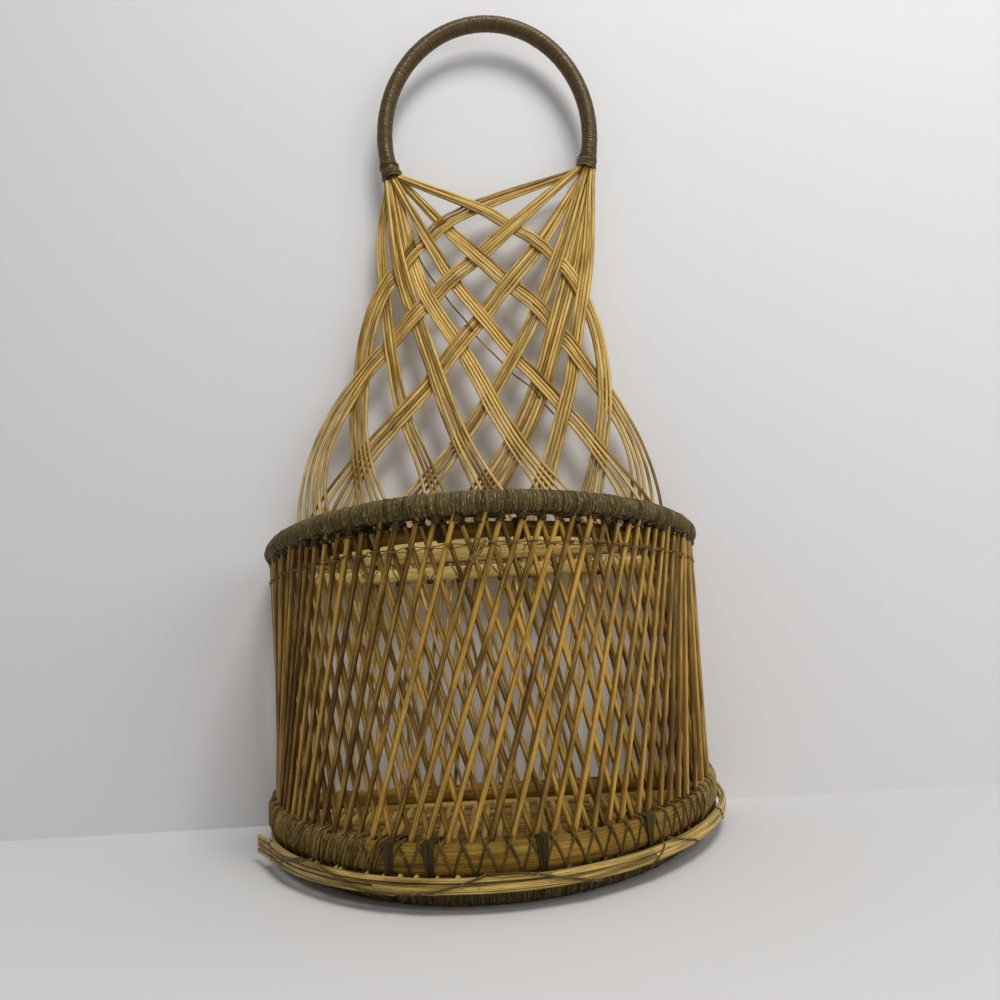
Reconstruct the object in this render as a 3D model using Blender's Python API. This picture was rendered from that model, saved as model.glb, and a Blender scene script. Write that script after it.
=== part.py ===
"""A wicker wall basket: a woven fan of cane ribbons above a half-round openwork pocket.

Lengths are in metres, +Z is up.  The back of the basket is the plane y = 0 until the whole
object is centred at the end, and the pocket bulges towards -Y.  Every object is one closed body.
"""

import functools
import math

import bmesh
import bpy
import numpy as np

# The pocket's plan: half width, depth and fullness of the wall's middle line at rim and foot.
RIM_HALF_WIDTH = 0.1198
RIM_DEPTH = 0.1557
RIM_FULLNESS = 1.4
RIM_Z = 0.1491
FOOT_TAPER = 0.0058
FOOT_DEPTH_TAPER = 0.0095
FOOT_HALF_WIDTH = RIM_HALF_WIDTH - FOOT_TAPER
FOOT_DEPTH = RIM_DEPTH - FOOT_DEPTH_TAPER
FOOT_FULLNESS = 1.15
WALL_FOOT_Z = 0.0124
CORNER_STEP_SHARE = 0.025
CORNER_END_SHARE = 0.002
HEADING_SHARE = 0.01

# Clear space between pieces that touch in the real basket.
GAP = 0.0003

# Rolls: the rim roll is a bound bundle, and so is the foot roll.
RIM_ROLL_RADIUS = 0.00495
RIM_CORE_RADIUS = 0.0034
FOOT_ROLL_RADIUS = 0.0041
FOOT_ROLL_INSET = 0.0050
ROLL_SIDES = 8
CORE_SIDES = 6
HOOP_STEPS = 32
LOOP_END_SHARE = 0.09
FOOT_LOOP_STEPS = 34
FLOOR_LOOP_STEPS = 26

# The fan of ribbons.
FAN_Y = -0.0063
FAN_SIDE_INSET = 0.0048
FAN_FOOT_SIDE_INSET = 0.0060
FAN_HALF_WIDTH = RIM_HALF_WIDTH - FAN_SIDE_INSET
FAN_FOOT_HALF_WIDTH = FOOT_HALF_WIDTH - FAN_FOOT_SIDE_INSET
FAN_HEIGHT = 0.2410
FAN_FOOT_Z = 0.0104
CANE_THICKNESS = 0.0017
CANE_PITCH = 0.0018
GATHER_WIDTH = 0.0034
GATHER_PITCH = 0.0039
GATHER_THICKNESS = 0.0030
GATHER_LENGTH = 0.0850
SHEET_CLEARANCE = 0.00022
LAYER_OFFSET = 0.0012
CROSSING_MARGIN = 0.0006
LEAST_TURN = 0.0016
RING_SPACING = 0.0300
SPLIT_SHARE = 0.3456
WEAVE_FLOOR_SHARE = 0.3290
CROSSING_FLOOR_SHARE = 0.1631
SPLIT_Z = RIM_Z + SPLIT_SHARE * FAN_HEIGHT
WEAVE_FLOOR_Z = RIM_Z + WEAVE_FLOOR_SHARE * FAN_HEIGHT
CROSSING_FLOOR_Z = RIM_Z + CROSSING_FLOOR_SHARE * FAN_HEIGHT
SLOTS = 28
BACK_LEAN_SLOTS = 3.5

# The handle loop is one arc of an ellipse in the plane of the fan.
HANDLE_X = 0.0175
HANDLE_LIFT = 0.0303
HANDLE_Z = RIM_Z + FAN_HEIGHT + HANDLE_LIFT
HANDLE_HALF_WIDTH = 0.0665
HANDLE_RISE = 0.0818
HANDLE_END_TURN = math.radians(22)
HANDLE_RADIUS = 0.0051
HANDLE_END_RADIUS = 0.0061
HANDLE_CORE_RADIUS = 0.0036
HANDLE_SIDES = 10
HANDLE_STEPS = 24
HANDLE_FLARE_STEPS = 2

# The front wall's two rows of canes cross every CROSSING_RISE of height.
PAIRS = 51
ROW_SECTIONS = 6
OUTER_CANE_RADIUS = 0.0012
INNER_CANE_RADIUS = 0.00105
OUTER_CANE_SIDES = 5
INNER_CANE_SIDES = 4
OUTER_ROW_OFFSET = 0.00165
INNER_ROW_OFFSET = -0.00155
CROSSING_RISE = 0.01775
TIE_DROP = 0.0162
TIE_Z = RIM_Z - TIE_DROP
CORNER_SHARE = 0.16

# Flat hoops and strips, as low and high Z, and how far in and out of the wall's middle line.
BASE_HOOP_LOW = 0.0134
BASE_HOOP_HIGH = 0.0239
OUTER_HOOP_IN = 0.0024
OUTER_HOOP_OUT = 0.0046
INNER_HOOP_IN = -0.0044
INNER_HOOP_OUT = -0.0021
RIM_HOOP_DROP = 0.0068
RIM_HOOP_HEIGHT = 0.0062
RIM_HOOP_HIGH = RIM_Z - RIM_HOOP_DROP
RIM_HOOP_LOW = RIM_HOOP_HIGH - RIM_HOOP_HEIGHT
RIM_HOOP_IN = -0.00525
RIM_HOOP_OUT = -0.0029
BASE_RING_LOW = 0.0080
BASE_RING_HIGH = 0.0106
BAND_IN = 0.0064
BAND_OUT = 0.0090
BAND_LOW = 0.0078
BAND_MIDDLE = 0.0110
BAND_HIGH = 0.0141

# Strips of the back wall.
STRIP_THICKNESS = 0.0030
OUTER_STRIP_THICKNESS = 0.0036
STRIP_INSET = 0.0075
RIM_STRIP_RISE = 0.0053
RIM_STRIP_HEIGHT = 0.0119
RIM_STRIP_HIGH = RIM_Z + RIM_STRIP_RISE
RIM_STRIP_LOW = RIM_STRIP_HIGH - RIM_STRIP_HEIGHT
TIE_STRIP_DROP = 0.0096
TIE_STRIP_HEIGHT = 0.0080
TIE_STRIP_HIGH = RIM_Z - TIE_STRIP_DROP
TIE_STRIP_LOW = TIE_STRIP_HIGH - TIE_STRIP_HEIGHT
BASE_STRIP_LOW = 0.0097
BASE_STRIP_HIGH = 0.0182

# Floor of slats in two layers, each with a border.
FLOOR_BORDER_OUT = -0.0068
FLOOR_BORDER_IN = -0.0115
FLOOR_LOW = 0.0080
FLOOR_LAYER = 0.0020
FLOOR_SLAT_WIDTH = 0.0070
FLOOR_BACK_Y = -0.0140
FLOOR_SLATS_ACROSS = 7
FLOOR_SLATS_LENGTHWISE = 9

# Thin binder and twine.
TWINE_RADIUS = 0.0006
TWINE_SIDES = 3
TWINE_SHARP_DEGREES = 130
TWINE_STRAND_OFFSET = 0.0008
STRAY_SIDES = 5
STITCH_RADIUS = 0.0005
STITCH_SIDES = 4
STITCH_GAP = 0.0003
BASE_STITCHES = 56
BASE_STITCH_END_SHARE = 0.02
BACK_STITCHES = 28
BACK_STITCH_REACH_SHARE = 0.97
LASHING_RADIUS = 0.0006
LASHING_SIDES = 4
LASHING_PITCH = 0.0019
LASHING_TURNS = 3

CANE_GOLD = (0.50, 0.29, 0.09, 1.0)
CANE_BROWN = (0.36, 0.20, 0.07, 1.0)
PALE_STRAW = (0.48, 0.34, 0.15, 1.0)
BINDER_OLIVE = (0.13, 0.10, 0.05, 1.0)
TWINE_DARK = (0.10, 0.07, 0.035, 1.0)

# Routes of the ribbons through the fan: shares of its half width and of its height above the rim.
LEFT_ROUTE_SHARES = {
    1: [
        (0.143, 0.886),
        (0.354, 0.813),
        (0.533, 0.72),
        (0.652, 0.59),
        (0.69, 0.45),
        (0.67, 0.3),
        (0.5, 0.0),
    ],
    2: [
        (0.047, 0.771),
        (0.356, 0.622),
        (0.479, 0.542),
        (0.613, 0.441),
        (0.724, 0.351),
        (0.87, 0.17),
        (0.90, 0.0),
    ],
    3: [(-0.11, 0.73), (0.20, 0.51), (0.51, 0.315), (0.73, 0.145), (0.86, 0.0)],
    4: [(-0.25, 0.69), (-0.035, 0.50), (0.16, 0.30), (0.37, 0.14), (0.535, 0.0)],
    5: [(-0.36, 0.735), (-0.27, 0.577), (-0.11, 0.315), (0.025, 0.15), (0.18, 0.0)],
    6: [(-0.464, 0.844), (-0.46, 0.702), (-0.425, 0.503), (-0.385, 0.375), (-0.296, 0.243), (-0.148, 0.0)],
}
RIGHT_ROUTE_SHARES = {
    1: [
        (0.215, 0.936),
        (0.005, 0.896),
        (-0.223, 0.822),
        (-0.36, 0.75),
        (-0.475, 0.67),
        (-0.555, 0.567),
        (-0.599, 0.434),
        (-0.61, 0.311),
        (-0.56, 0.0),
    ],
    2: [
        (0.28, 0.855),
        (-0.174, 0.67),
        (-0.465, 0.523),
        (-0.61, 0.436),
        (-0.78, 0.30),
        (-0.86, 0.166),
        (-0.82, 0.0),
    ],
    3: [
        (0.389, 0.784),
        (0.142, 0.643),
        (-0.07, 0.521),
        (-0.315, 0.381),
        (-0.505, 0.288),
        (-0.74, 0.145),
        (-0.82, 0.0),
    ],
    4: [(0.487, 0.74), (0.285, 0.535), (0.028, 0.344), (-0.21, 0.20), (-0.50, 0.0)],
    5: [(0.575, 0.726), (0.46, 0.552), (0.315, 0.361), (0.12, 0.187), (-0.14, 0.0)],
    6: [(0.656, 0.739), (0.571, 0.548), (0.518, 0.415), (0.456, 0.319), (0.24, 0.0)],
}
LEFT_CANE_COUNTS = {1: 4, 2: 5, 3: 4, 4: 5, 5: 5, 6: 4}
RIGHT_CANE_COUNTS = {1: 5, 2: 5, 3: 5, 4: 4, 5: 6, 6: 4}

# Order of the ribbons along the rim, from the left, in the front layer and in the back one.
FRONT_LAYER = ("right_2", "right_1", "left_6", "left_5", "left_4", "left_3")
BACK_LAYER = ("right_3", "right_4", "right_5", "right_6", "left_1", "left_2")

STRAY_ROUTE_SHARES = [
    (-0.43, 0.86),
    (-0.36, 0.78),
    (-0.23, 0.66),
    (-0.03, 0.53),
    (0.17, 0.36),
    (0.29, 0.23),
]

# The gaps between pairs of canes that hold a lashing, counted from the left.
RIM_LASHING_SEAT_COUNTS = (20, 24, 28, 34)
BASE_LASHING_SEAT_COUNTS = (21, 23, 28, 34)


def make(name, points, faces, color, roughness=0.6):
    """One object of these points and faces, facing out, with a material of its own."""
    mesh = bpy.data.meshes.new(name)
    mesh.from_pydata([tuple(map(float, point)) for point in points], [], faces)
    work = bmesh.new()
    work.from_mesh(mesh)
    bmesh.ops.recalc_face_normals(work, faces=work.faces)
    work.to_mesh(mesh)
    work.free()
    material = bpy.data.materials.new(name)
    material.use_nodes = True
    shader = material.node_tree.nodes["Principled BSDF"]
    shader.inputs["Base Color"].default_value = color
    shader.inputs["Roughness"].default_value = roughness
    shader.inputs["Metallic"].default_value = 0
    mesh.materials.append(material)
    made = bpy.data.objects.new(name, mesh)
    bpy.context.scene.collection.objects.link(made)
    return made


def smooth(made, sharp_degrees=50):
    made.data.shade_smooth()
    made.data.set_sharp_from_angle(angle=math.radians(sharp_degrees))
    return made


def skin(rings, closed=False):
    """Points and faces of a surface drawn through rings of equal length, with end caps unless closed."""
    count = len(rings[0])
    points = [point for ring in rings for point in ring]
    faces = []
    spans = len(rings) if closed else len(rings) - 1
    for index in range(spans):
        low = index * count
        high = (index + 1) % len(rings) * count
        for side in range(count):
            after = (side + 1) % count
            faces.append((low + side, low + after, high + after, high + side))
    if not closed:
        faces.append(tuple(range(count)))
        faces.append(tuple(range(len(points) - 1, len(points) - 1 - count, -1)))
    return points, faces


def sleeve(outer_rings, inner_rings):
    """Points and faces of an open-ended tube wall between two sets of rings of equal length."""
    count = len(outer_rings[0])
    points, faces = skin(outer_rings)
    inner_points, inner_faces = skin(inner_rings)
    faces = faces[:-2]
    shift = len(points)
    faces += [tuple(index + shift for index in face[::-1]) for face in inner_faces[:-2]]
    for start in (0, shift - count):
        for side in range(count):
            after = (side + 1) % count
            faces.append((start + side, start + after, start + shift + after, start + shift + side))
    return points + inner_points, faces


def merged(shapes):
    """Several shapes' points and faces as one list of each."""
    points = []
    faces = []
    for more_points, more_faces in shapes:
        shift = len(points)
        points += list(more_points)
        faces += [tuple(index + shift for index in face) for face in more_faces]
    return points, faces


def tube(path, radius, sides):
    """Points and faces of a round tube along a path of 3-D points."""
    path = np.asarray(path, float)
    steps = np.diff(path, axis=0)
    steps /= np.linalg.norm(steps, axis=1)[:, None]
    along = np.vstack([steps[:1], steps[:-1] + steps[1:], steps[-1:]])
    along /= np.linalg.norm(along, axis=1)[:, None]
    across = np.cross(along[0], (0, 0, 1))
    if np.linalg.norm(across) < 0.1:
        across = np.cross(along[0], (0, 1, 0))
    rings = []
    for point, heading in zip(path, along):
        across = across - heading * (across @ heading)
        across /= np.linalg.norm(across)
        beside = np.cross(heading, across)
        turns = [2 * math.pi * side / sides for side in range(sides)]
        rings.append([point + radius * (math.cos(turn) * across + math.sin(turn) * beside) for turn in turns])
    return skin(rings)


def least_self_gap(path, radius, apart):
    """The least clear space between stretches of a wound tube that are this many points apart or more."""
    path = np.asarray(path)
    shares = np.linspace(0, 1, 9)[:, None]
    stretches = [low + shares * (high - low) for low, high in zip(path, path[1:])]
    least = math.inf
    for index, stretch in enumerate(stretches):
        for other in stretches[index + apart :]:
            spans = np.linalg.norm(stretch[:, None] - other[None], axis=2)
            least = min(least, float(spans.min()) - 2 * radius)
    return least


def union(made, other):
    """Joins another object's solid to this one and removes the other."""
    modifier = made.modifiers.new("union", "BOOLEAN")
    modifier.operation = "UNION"
    modifier.solver = "EXACT"
    modifier.object = other
    bpy.context.view_layer.update()
    graph = bpy.context.evaluated_depsgraph_get()
    joined = bpy.data.meshes.new_from_object(made.evaluated_get(graph))
    made.modifiers.clear()
    made.data = joined
    bpy.data.objects.remove(other)
    return made


# The pocket's plan, and points measured from it.


@functools.lru_cache(maxsize=None)
def plan_curve(height):
    """The wall's middle line at this height from left to right, its length shares and its length."""
    rise = (height - WALL_FOOT_Z) / (RIM_Z - WALL_FOOT_Z)
    half_width = FOOT_HALF_WIDTH + rise * (RIM_HALF_WIDTH - FOOT_HALF_WIDTH)
    depth = FOOT_DEPTH + rise * (RIM_DEPTH - FOOT_DEPTH)
    fullness = FOOT_FULLNESS + rise * (RIM_FULLNESS - FOOT_FULLNESS)
    turn = np.linspace(math.pi, 0, 721)
    bulge = np.clip(np.sin(turn), 0, 1) ** fullness
    points = np.stack([half_width * np.cos(turn), -depth * bulge], axis=1)
    lengths = np.concatenate([[0], np.cumsum(np.linalg.norm(np.diff(points, axis=0), axis=1))])
    return points, lengths / lengths[-1], lengths[-1]


def wall_point(share, height, out=0.0):
    """A point of the wall at this share of its length round, moved out from the middle line."""
    points, shares, _ = plan_curve(height)
    here = np.array([np.interp(share, shares, points[:, axis]) for axis in (0, 1)])
    ends = np.clip([share - HEADING_SHARE, share + HEADING_SHARE], 0, 1)
    low, high = [np.array([np.interp(end, shares, points[:, axis]) for axis in (0, 1)]) for end in ends]
    along = (high - low) / np.linalg.norm(high - low)
    if share < CORNER_END_SHARE or share > 1 - CORNER_END_SHARE:
        along = np.array([0.0, math.copysign(1, share - 0.5)])
    outward = np.array([along[1], -along[0]])
    return np.array([*(here + out * outward), height])


def wall_shares(low=0.0, high=1.0):
    """Shares round the wall between these two, closer together by its corners where it turns most."""
    middle = np.linspace(CORNER_STEP_SHARE, 1 - CORNER_STEP_SHARE, HOOP_STEPS - 3)
    shares = [0, CORNER_STEP_SHARE / 2, *middle, 1 - CORNER_STEP_SHARE / 2, 1]
    least = CORNER_END_SHARE * (high - low)
    return [low] + [share for share in shares if low + least < share < high - least] + [high]


def hoop(low, high, inside, outside, shares=None):
    """Points and faces of a flat hoop round the wall."""
    corners = ((inside, low), (outside, low), (outside, high), (inside, high))
    rings = [[wall_point(share, z, out) for out, z in corners] for share in shares or wall_shares()]
    return skin(rings)


def roll_corners(radius, middle_z, sides):
    """Corners of a roll's section, with a flat side underneath."""
    turns = [2 * math.pi * (side + 1 / 2) / sides - math.pi / 2 for side in range(sides)]
    return [(radius * math.cos(turn), middle_z + radius * math.sin(turn)) for turn in turns]


def rim_rings(radius, sides):
    rings = []
    for share in wall_shares():
        ring = []
        for out, z in roll_corners(radius, RIM_Z, sides):
            x, y, _ = wall_point(share, RIM_Z, out)
            ring.append((x, y, z))
        rings.append(ring)
    return rings


def rim_roll():
    outer = rim_rings(RIM_ROLL_RADIUS, ROLL_SIDES)
    inner = rim_rings(RIM_CORE_RADIUS + GAP, ROLL_SIDES)
    smooth(make("rim_wrap", *sleeve(outer, inner), BINDER_OLIVE, 0.75))
    smooth(make("rim_core", *skin(rim_rings(RIM_CORE_RADIUS, CORE_SIDES)), CANE_BROWN))


def closed_loop(outs_and_heights, back_y, at_z, steps):
    """A D-shaped closed loop: round the wall's plan at one height, then straight along the back."""
    rings = []
    for share in np.linspace(LOOP_END_SHARE, 1 - LOOP_END_SHARE, steps):
        rings.append([wall_point(share, at_z, out)[:2].tolist() + [z] for out, z in outs_and_heights])
    for side in (1, -1):
        end_share = (1 + side) / 2
        ring = []
        for out, z in outs_and_heights:
            corner = wall_point(end_share, at_z, out)
            ring.append([corner[0], back_y + out - outs_and_heights[0][0], z])
        if side > 0:
            rings.append(ring)
        else:
            rings.insert(0, ring)
    return skin(rings, closed=True)


def foot_roll():
    middle_z = FOOT_ROLL_RADIUS * math.cos(math.pi / ROLL_SIDES)
    corners = roll_corners(FOOT_ROLL_RADIUS, middle_z, ROLL_SIDES)
    corners = [(out - FOOT_ROLL_INSET, z) for out, z in corners]
    back_y = -FOOT_ROLL_RADIUS + corners[0][0] + FOOT_ROLL_INSET - GAP
    points, faces = closed_loop(corners, back_y, WALL_FOOT_Z, FOOT_LOOP_STEPS)
    smooth(make("foot_roll", points, faces, BINDER_OLIVE, 0.75))


# The handle.


def handle_ring(turn, radius, sides):
    """A ring round the handle's middle line, square to it."""
    x = HANDLE_X + HANDLE_HALF_WIDTH * math.cos(turn)
    z = HANDLE_Z + HANDLE_RISE * math.sin(turn)
    along = np.array([-HANDLE_HALF_WIDTH * math.sin(turn), 0, HANDLE_RISE * math.cos(turn)])
    along /= np.linalg.norm(along)
    outward = np.array([along[2], 0, -along[0]])
    centre = np.array([x, FAN_Y, z])
    turns = [2 * math.pi * (side + 1 / 2) / sides for side in range(sides)]
    return [centre + radius * (math.cos(a) * outward + math.sin(a) * np.array([0, 1, 0])) for a in turns]


def handle():
    first = -HANDLE_END_TURN
    last = math.pi + HANDLE_END_TURN
    turns = np.linspace(first, last, HANDLE_STEPS + 1)
    from_end = [min(index, HANDLE_STEPS - index, HANDLE_FLARE_STEPS) for index in range(len(turns))]
    flare = (HANDLE_RADIUS - HANDLE_END_RADIUS) / HANDLE_FLARE_STEPS
    radii = [HANDLE_END_RADIUS + flare * steps for steps in from_end]
    outer = [handle_ring(turn, radius, HANDLE_SIDES) for turn, radius in zip(turns, radii)]
    inner = [handle_ring(turn, HANDLE_CORE_RADIUS + GAP, HANDLE_SIDES) for turn in turns]
    smooth(make("handle_wrap", *sleeve(outer, inner), BINDER_OLIVE, 0.75))
    core = [handle_ring(turn, HANDLE_CORE_RADIUS, HANDLE_SIDES) for turn in turns]
    smooth(make("handle_core", *skin(core), CANE_GOLD))


# The fan of ribbons.  A ribbon is a row of half-round canes side by side.


def smooth_line(corners):
    """A smooth line through 2-D corners as closely spaced points, and the length run at each."""
    corners = np.asarray(corners, float)
    padded = np.vstack([2 * corners[0] - corners[1], corners, 2 * corners[-1] - corners[-2]])
    points = []
    for first, start, end, last in zip(padded, padded[1:], padded[2:], padded[3:]):
        spans = [math.sqrt(np.linalg.norm(b - a)) for a, b in ((first, start), (start, end), (end, last))]
        level = (end - start) / spans[1]
        slope_in = (start - first) / spans[0] - (end - first) / (spans[0] + spans[1]) + level
        slope_out = level - (last - start) / (spans[1] + spans[2]) + (last - end) / spans[2]
        for share in np.linspace(0, 1, 24, endpoint=False):
            points.append(hermite(start, slope_in * spans[1], end, slope_out * spans[1], share)[0])
    points.append(corners[-1])
    points = np.array(points)
    lengths = np.concatenate([[0], np.cumsum(np.linalg.norm(np.diff(points, axis=0), axis=1))])
    return points, lengths


def across(heading):
    """The direction across a ribbon that heads this way, to the right of a downward heading."""
    return np.array([-heading[1], heading[0]])


class Ribbon:
    def __init__(self, side, number):
        left = side == "left"
        self.side = side
        self.number = number
        self.place = f"{side}_{number}"
        self.canes = (LEFT_CANE_COUNTS if left else RIGHT_CANE_COUNTS)[number]
        end_turn = math.pi + HANDLE_END_TURN if left else -HANDLE_END_TURN
        end = np.array([HANDLE_X, HANDLE_Z]) + np.array(
            [HANDLE_HALF_WIDTH * math.cos(end_turn), HANDLE_RISE * math.sin(end_turn)]
        )
        down = np.array([-HANDLE_HALF_WIDTH * math.sin(end_turn), HANDLE_RISE * math.cos(end_turn)])
        self.start_heading = down / np.linalg.norm(down) * (1 if left else -1)
        column = 1 - (number - 1) // 2
        inward = across(self.start_heading) * (1 if left else -1)
        start = end + self.start_heading * GAP + inward * column * GATHER_PITCH
        routes = LEFT_ROUTE_SHARES if left else RIGHT_ROUTE_SHARES
        corners = [(x * FAN_HALF_WIDTH, RIM_Z + z * FAN_HEIGHT) for x, z in routes[number]]
        self.points, self.lengths = smooth_line([start, *corners])
        self.starts_in_front = (number % 2 == 1) == left
        self.layer = FRONT_LAYER if self.place in FRONT_LAYER else BACK_LAYER
        self.layer_sign = -1 if self.layer is FRONT_LAYER else 1
        self.events = []

    def at(self, run):
        """Position and heading after this much length."""
        here = np.array([np.interp(run, self.lengths, self.points[:, axis]) for axis in (0, 1)])
        index = min(max(int(np.searchsorted(self.lengths, run)), 1), len(self.points) - 1)
        heading = self.points[index] - self.points[index - 1]
        return here, heading / np.linalg.norm(heading)

    def width(self, run):
        grown = min(1, run / GATHER_LENGTH)
        return GATHER_WIDTH + grown * (self.canes * CANE_PITCH - GATHER_WIDTH)

    def thickness(self, run):
        grown = min(1, run / GATHER_LENGTH)
        return GATHER_THICKNESS + grown * (CANE_THICKNESS - GATHER_THICKNESS)

    def run_at_height(self, height):
        below = np.nonzero(self.points[:, 1] < height)[0][0]
        return self.lengths[below]


def meetings(one, other):
    """Lengths along two ribbons' middle lines at each place where they cross."""
    found = []
    starts, ends = one.points[:-1], one.points[1:]
    steps = ends - starts
    for index in range(len(other.points) - 1):
        from_here = other.points[index] - starts
        step = other.points[index + 1] - other.points[index]
        turn = steps[:, 0] * step[1] - steps[:, 1] * step[0]
        turn = np.where(turn == 0, 1, turn)
        first = (from_here[:, 0] * step[1] - from_here[:, 1] * step[0]) / turn
        second = (from_here[:, 0] * steps[:, 1] - from_here[:, 1] * steps[:, 0]) / turn
        for hit in np.nonzero((first >= 0) & (first < 1) & (second >= 0) & (second < 1))[0]:
            run = one.lengths[hit] + first[hit] * (one.lengths[hit + 1] - one.lengths[hit])
            onward = second[hit] * (other.lengths[index + 1] - other.lengths[index])
            found.append((run, other.lengths[index] + onward))
    return found


def who_is_in_front(one, other):
    """Whether the first of two woven ribbons passes in front of the second."""
    if one.side == other.side:
        return one.number < other.number if one.side == "left" else one.number > other.number
    return (one.number + other.number) % 2 == (0 if one.side == "left" else 1)


def note_crossings(ribbons):
    """Records on each ribbon where others cross it, and on which side of them it passes."""
    for index, one in enumerate(ribbons):
        for other in ribbons[index + 1 :]:
            for run, other_run in meetings(one, other):
                height = one.at(run)[0][1]
                if height < CROSSING_FLOOR_Z or min(run, other_run) < one.width(0):
                    continue
                if height > WEAVE_FLOOR_Z:
                    front = who_is_in_front(one, other)
                elif one.layer is other.layer:
                    continue
                else:
                    front = one.layer is FRONT_LAYER
                woven = height > WEAVE_FLOOR_Z
                one.events.append((run, other, other_run, -1 if front else 1, woven))
                other.events.append((other_run, one, run, 1 if front else -1, woven))
    for ribbon in ribbons:
        ribbon.events.sort(key=lambda event: event[0])


def event_span(ribbon, event, offset):
    """Where a crossing begins and ends along a line at this offset from the ribbon's middle."""
    run, other, other_run, _, _ = event
    heading = ribbon.at(run)[1]
    other_across = across(other.at(other_run)[1])
    half = other.width(other_run) / 2 + CROSSING_MARGIN
    along_share = heading @ other_across
    middle = -offset * (across(heading) @ other_across) / along_share
    return run + middle - half / abs(along_share), run + middle + half / abs(along_share)


def ribbon_stations(ribbon):
    """Rings of a ribbon as (length at each valley and bump, side of the middle plane)."""
    cells = [(k / 2 - ribbon.canes / 2) / ribbon.canes for k in range(2 * ribbon.canes + 1)]
    spans = []
    woven = [event for event in ribbon.events if event[4]]
    edges = ribbon_edges(ribbon)
    last_woven = max(event_span(ribbon, event, edge)[1] for event in woven for edge in edges)
    split = max(ribbon.run_at_height(SPLIT_Z), last_woven + LEAST_TURN)
    for event in ribbon.events:
        offsets = [share * ribbon.width(event[0]) for share in cells]
        ends = np.array([event_span(ribbon, event, offset) for offset in offsets])
        if not event[4] and ends[:, 0].min() > split:
            continue
        spans.append([ends[:, 0], ends[:, 1], event[3], event[4]])
    for before, after in zip(spans, spans[1:]):
        middle = (before[1] + after[0]) / 2
        before[1] = np.minimum(before[1], middle - LEAST_TURN / 2)
        after[0] = np.maximum(after[0], middle + LEAST_TURN / 2)
    side = -1 if ribbon.starts_in_front else 1
    stations = [(np.zeros(len(cells)), side)]
    for low, high, side, is_woven in spans:
        if side != stations[-1][1]:
            stations.append((low, side))
        if is_woven:
            stations.append((high, side))
    split = max(split, stations[-1][0].max() + LEAST_TURN)
    if stations[-1][1] != ribbon.layer_sign or spans[-1][3]:
        split += LEAST_TURN
    stations.append((np.full(len(cells), split), ribbon.layer_sign))
    filled = [stations[0]]
    for low, high in zip(stations, stations[1:]):
        length = high[0].mean() - low[0].mean()
        more = int(length // RING_SPACING)
        for step in range(1, more + 1):
            share = step / (more + 1)
            if low[1] == high[1]:
                filled.append((low[0] + share * (high[0] - low[0]), low[1]))
        filled.append(high)
    return cells, filled


def ribbon_edges(ribbon):
    half = ribbon.canes * CANE_PITCH / 2
    return -half, 0, half


def fused_ring(ribbon, cells, runs, side, is_layer):
    """Front valleys and bumps in turn, then the back valleys, as two rows of points."""
    front = []
    back = []
    for index, (share, run) in enumerate(zip(cells, runs)):
        here, heading = ribbon.at(run)
        if run == 0:
            heading = ribbon.start_heading
        thick = ribbon.thickness(run)
        middle = side * (LAYER_OFFSET if is_layer else thick / 2 + SHEET_CLEARANCE)
        spot = here + share * ribbon.width(run) * across(heading)
        is_bump = index % 2 == 1
        depth = thick / 2 if is_bump else thick / 5
        front.append(np.array([spot[0], FAN_Y + middle - depth, spot[1]]))
        if not is_bump:
            back.append(np.array([spot[0], FAN_Y + middle + thick / 2, spot[1]]))
    return front, back


def slot_point(slot, height, lean):
    """Where a cane of the back wall is at this height.  It leans one way or the other below the rim."""
    share = (slot + 1 / 2) / SLOTS
    fall = (RIM_Z - height) / (RIM_Z - FAN_FOOT_Z)
    room = min(1, share / CORNER_SHARE, (1 - share) / CORNER_SHARE)
    share = share + lean * fall * room * BACK_LEAN_SLOTS / SLOTS
    half = FAN_HALF_WIDTH + fall * (FAN_FOOT_HALF_WIDTH - FAN_HALF_WIDTH)
    return np.array([(2 * share - 1) * half, height])


def cane_ring(spot, heading, y):
    """Five points round one half-round cane: valley, bump, valley, then the flat back."""
    sideways = across(heading) * CANE_PITCH / 2
    half = CANE_THICKNESS / 2
    parts = ((-1, -half * 2 / 5), (0, -half), (1, -half * 2 / 5), (1, half), (-1, half))
    return [np.array([spot[0] + k * sideways[0], y + out, spot[1] + k * sideways[1]]) for k, out in parts]


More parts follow.
